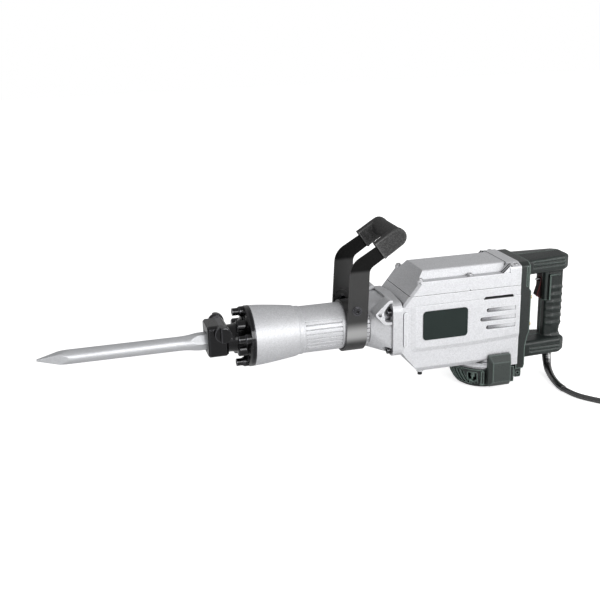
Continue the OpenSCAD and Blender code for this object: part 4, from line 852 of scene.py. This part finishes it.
# %% Rear handle, side grip and cord guard
moulded_copy("rear_handle_near", "handle_left", "frame", 0.0010, 3)
moulded_copy("rear_handle_far", "handle_right", "frame", 0.0010, 3)
moulded_copy("side_grip_sleeve", "side_grip", "side_handle", 0.0011, 8)
moulded_copy("cord_sleeve", "cord_guard", "frame", 0.0007, 6)

# %% [markdown]
# ## Spring washers
# A split ring of square wire lies under each bolt head and keeps it from working loose. One end stands a
# little higher than the other. The ring is one arc swept with a square, and it is set on every bolt's seat
# with its gap turned another way each time.

# %% Spring washers under the bolts
washer = Recipe("split washer", "Ring radius", "Wire", "Rise")
arc_sizes = {"Resolution": 32, "Radius": washer.given("Ring radius"), "Sweep Angle": math.radians(340)}
arc = washer.node("GeometryNodeCurveArc", {"mode": "RADIUS"}, arc_sizes)
part_way = washer.node("GeometryNodeSplineParameter")
lift = washer.node("ShaderNodeCombineXYZ", None, {"Z": part_way * washer.given("Rise")})
rising = washer.node("GeometryNodeSetPosition", None, {"Geometry": arc, "Offset": lift})
square_sizes = {"Width": washer.given("Wire"), "Height": washer.given("Wire")}
square = washer.node("GeometryNodeCurvePrimitiveQuadrilateral", {"mode": "RECTANGLE"}, square_sizes)
wire_ring = {"Curve": rising, "Profile Curve": square, "Fill Caps": True}
split_ring = washer.node("GeometryNodeCurveToMesh", None, wire_ring)
seats = {"Points": washer.given("Geometry"), "Instance": split_ring, "Rotation": (0, -math.pi / 2, 0)}
on_seats = washer.node("GeometryNodeInstanceOnPoints", None, seats)
any_turn = {2: 0.0, 3: 2 * math.pi, "Seed": 5}
gap_turn = washer.node("FunctionNodeRandomValue", {"data_type": "FLOAT"}, any_turn, 1)
turn = washer.node("ShaderNodeCombineXYZ", None, {"Z": gap_turn})
turned_rings = washer.node("GeometryNodeRotateInstances", None, {"Instances": on_seats, "Rotation": turn})
washer.close(turned_rings, finishes["black_screw"])

AXIS_HEIGHT = 0.152
HOLDER_SEAT_X, HOLDER_BOLT_CIRCLE, FIRST_BOLT = -0.4999, 0.048, math.radians(-13)
CASE_SEAT_X, CASE_SEAT_YZ = -0.2199, ((0.057, 0.186), (0.055, 0.109))
holder_seats = []
for quarter in range(4):
    angle = FIRST_BOLT + quarter * math.pi / 2
    across = -HOLDER_BOLT_CIRCLE * math.sin(angle)
    holder_seats.append((HOLDER_SEAT_X, across, AXIS_HEIGHT + HOLDER_BOLT_CIRCLE * math.cos(angle)))
case_seats = [(CASE_SEAT_X, y * side, z) for y, z in CASE_SEAT_YZ for side in (-1, 1)]
holder_washers = path_piece("holder_washers", holder_seats, joined=False)
washer.run(holder_washers, **{"Ring radius": 0.0076, "Wire": 0.0019, "Rise": 0.0007})
case_washers = path_piece("case_washers", case_seats, joined=False)
washer.run(case_washers, **{"Ring radius": 0.0067, "Wire": 0.0016, "Rise": 0.0006})
for piece in (holder_washers, case_washers):
    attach(piece, "frame")
    print(piece.name, len(piece.data.polygons), "faces")

# %% [markdown]
# The dressed model has to stay inside the solids' box.
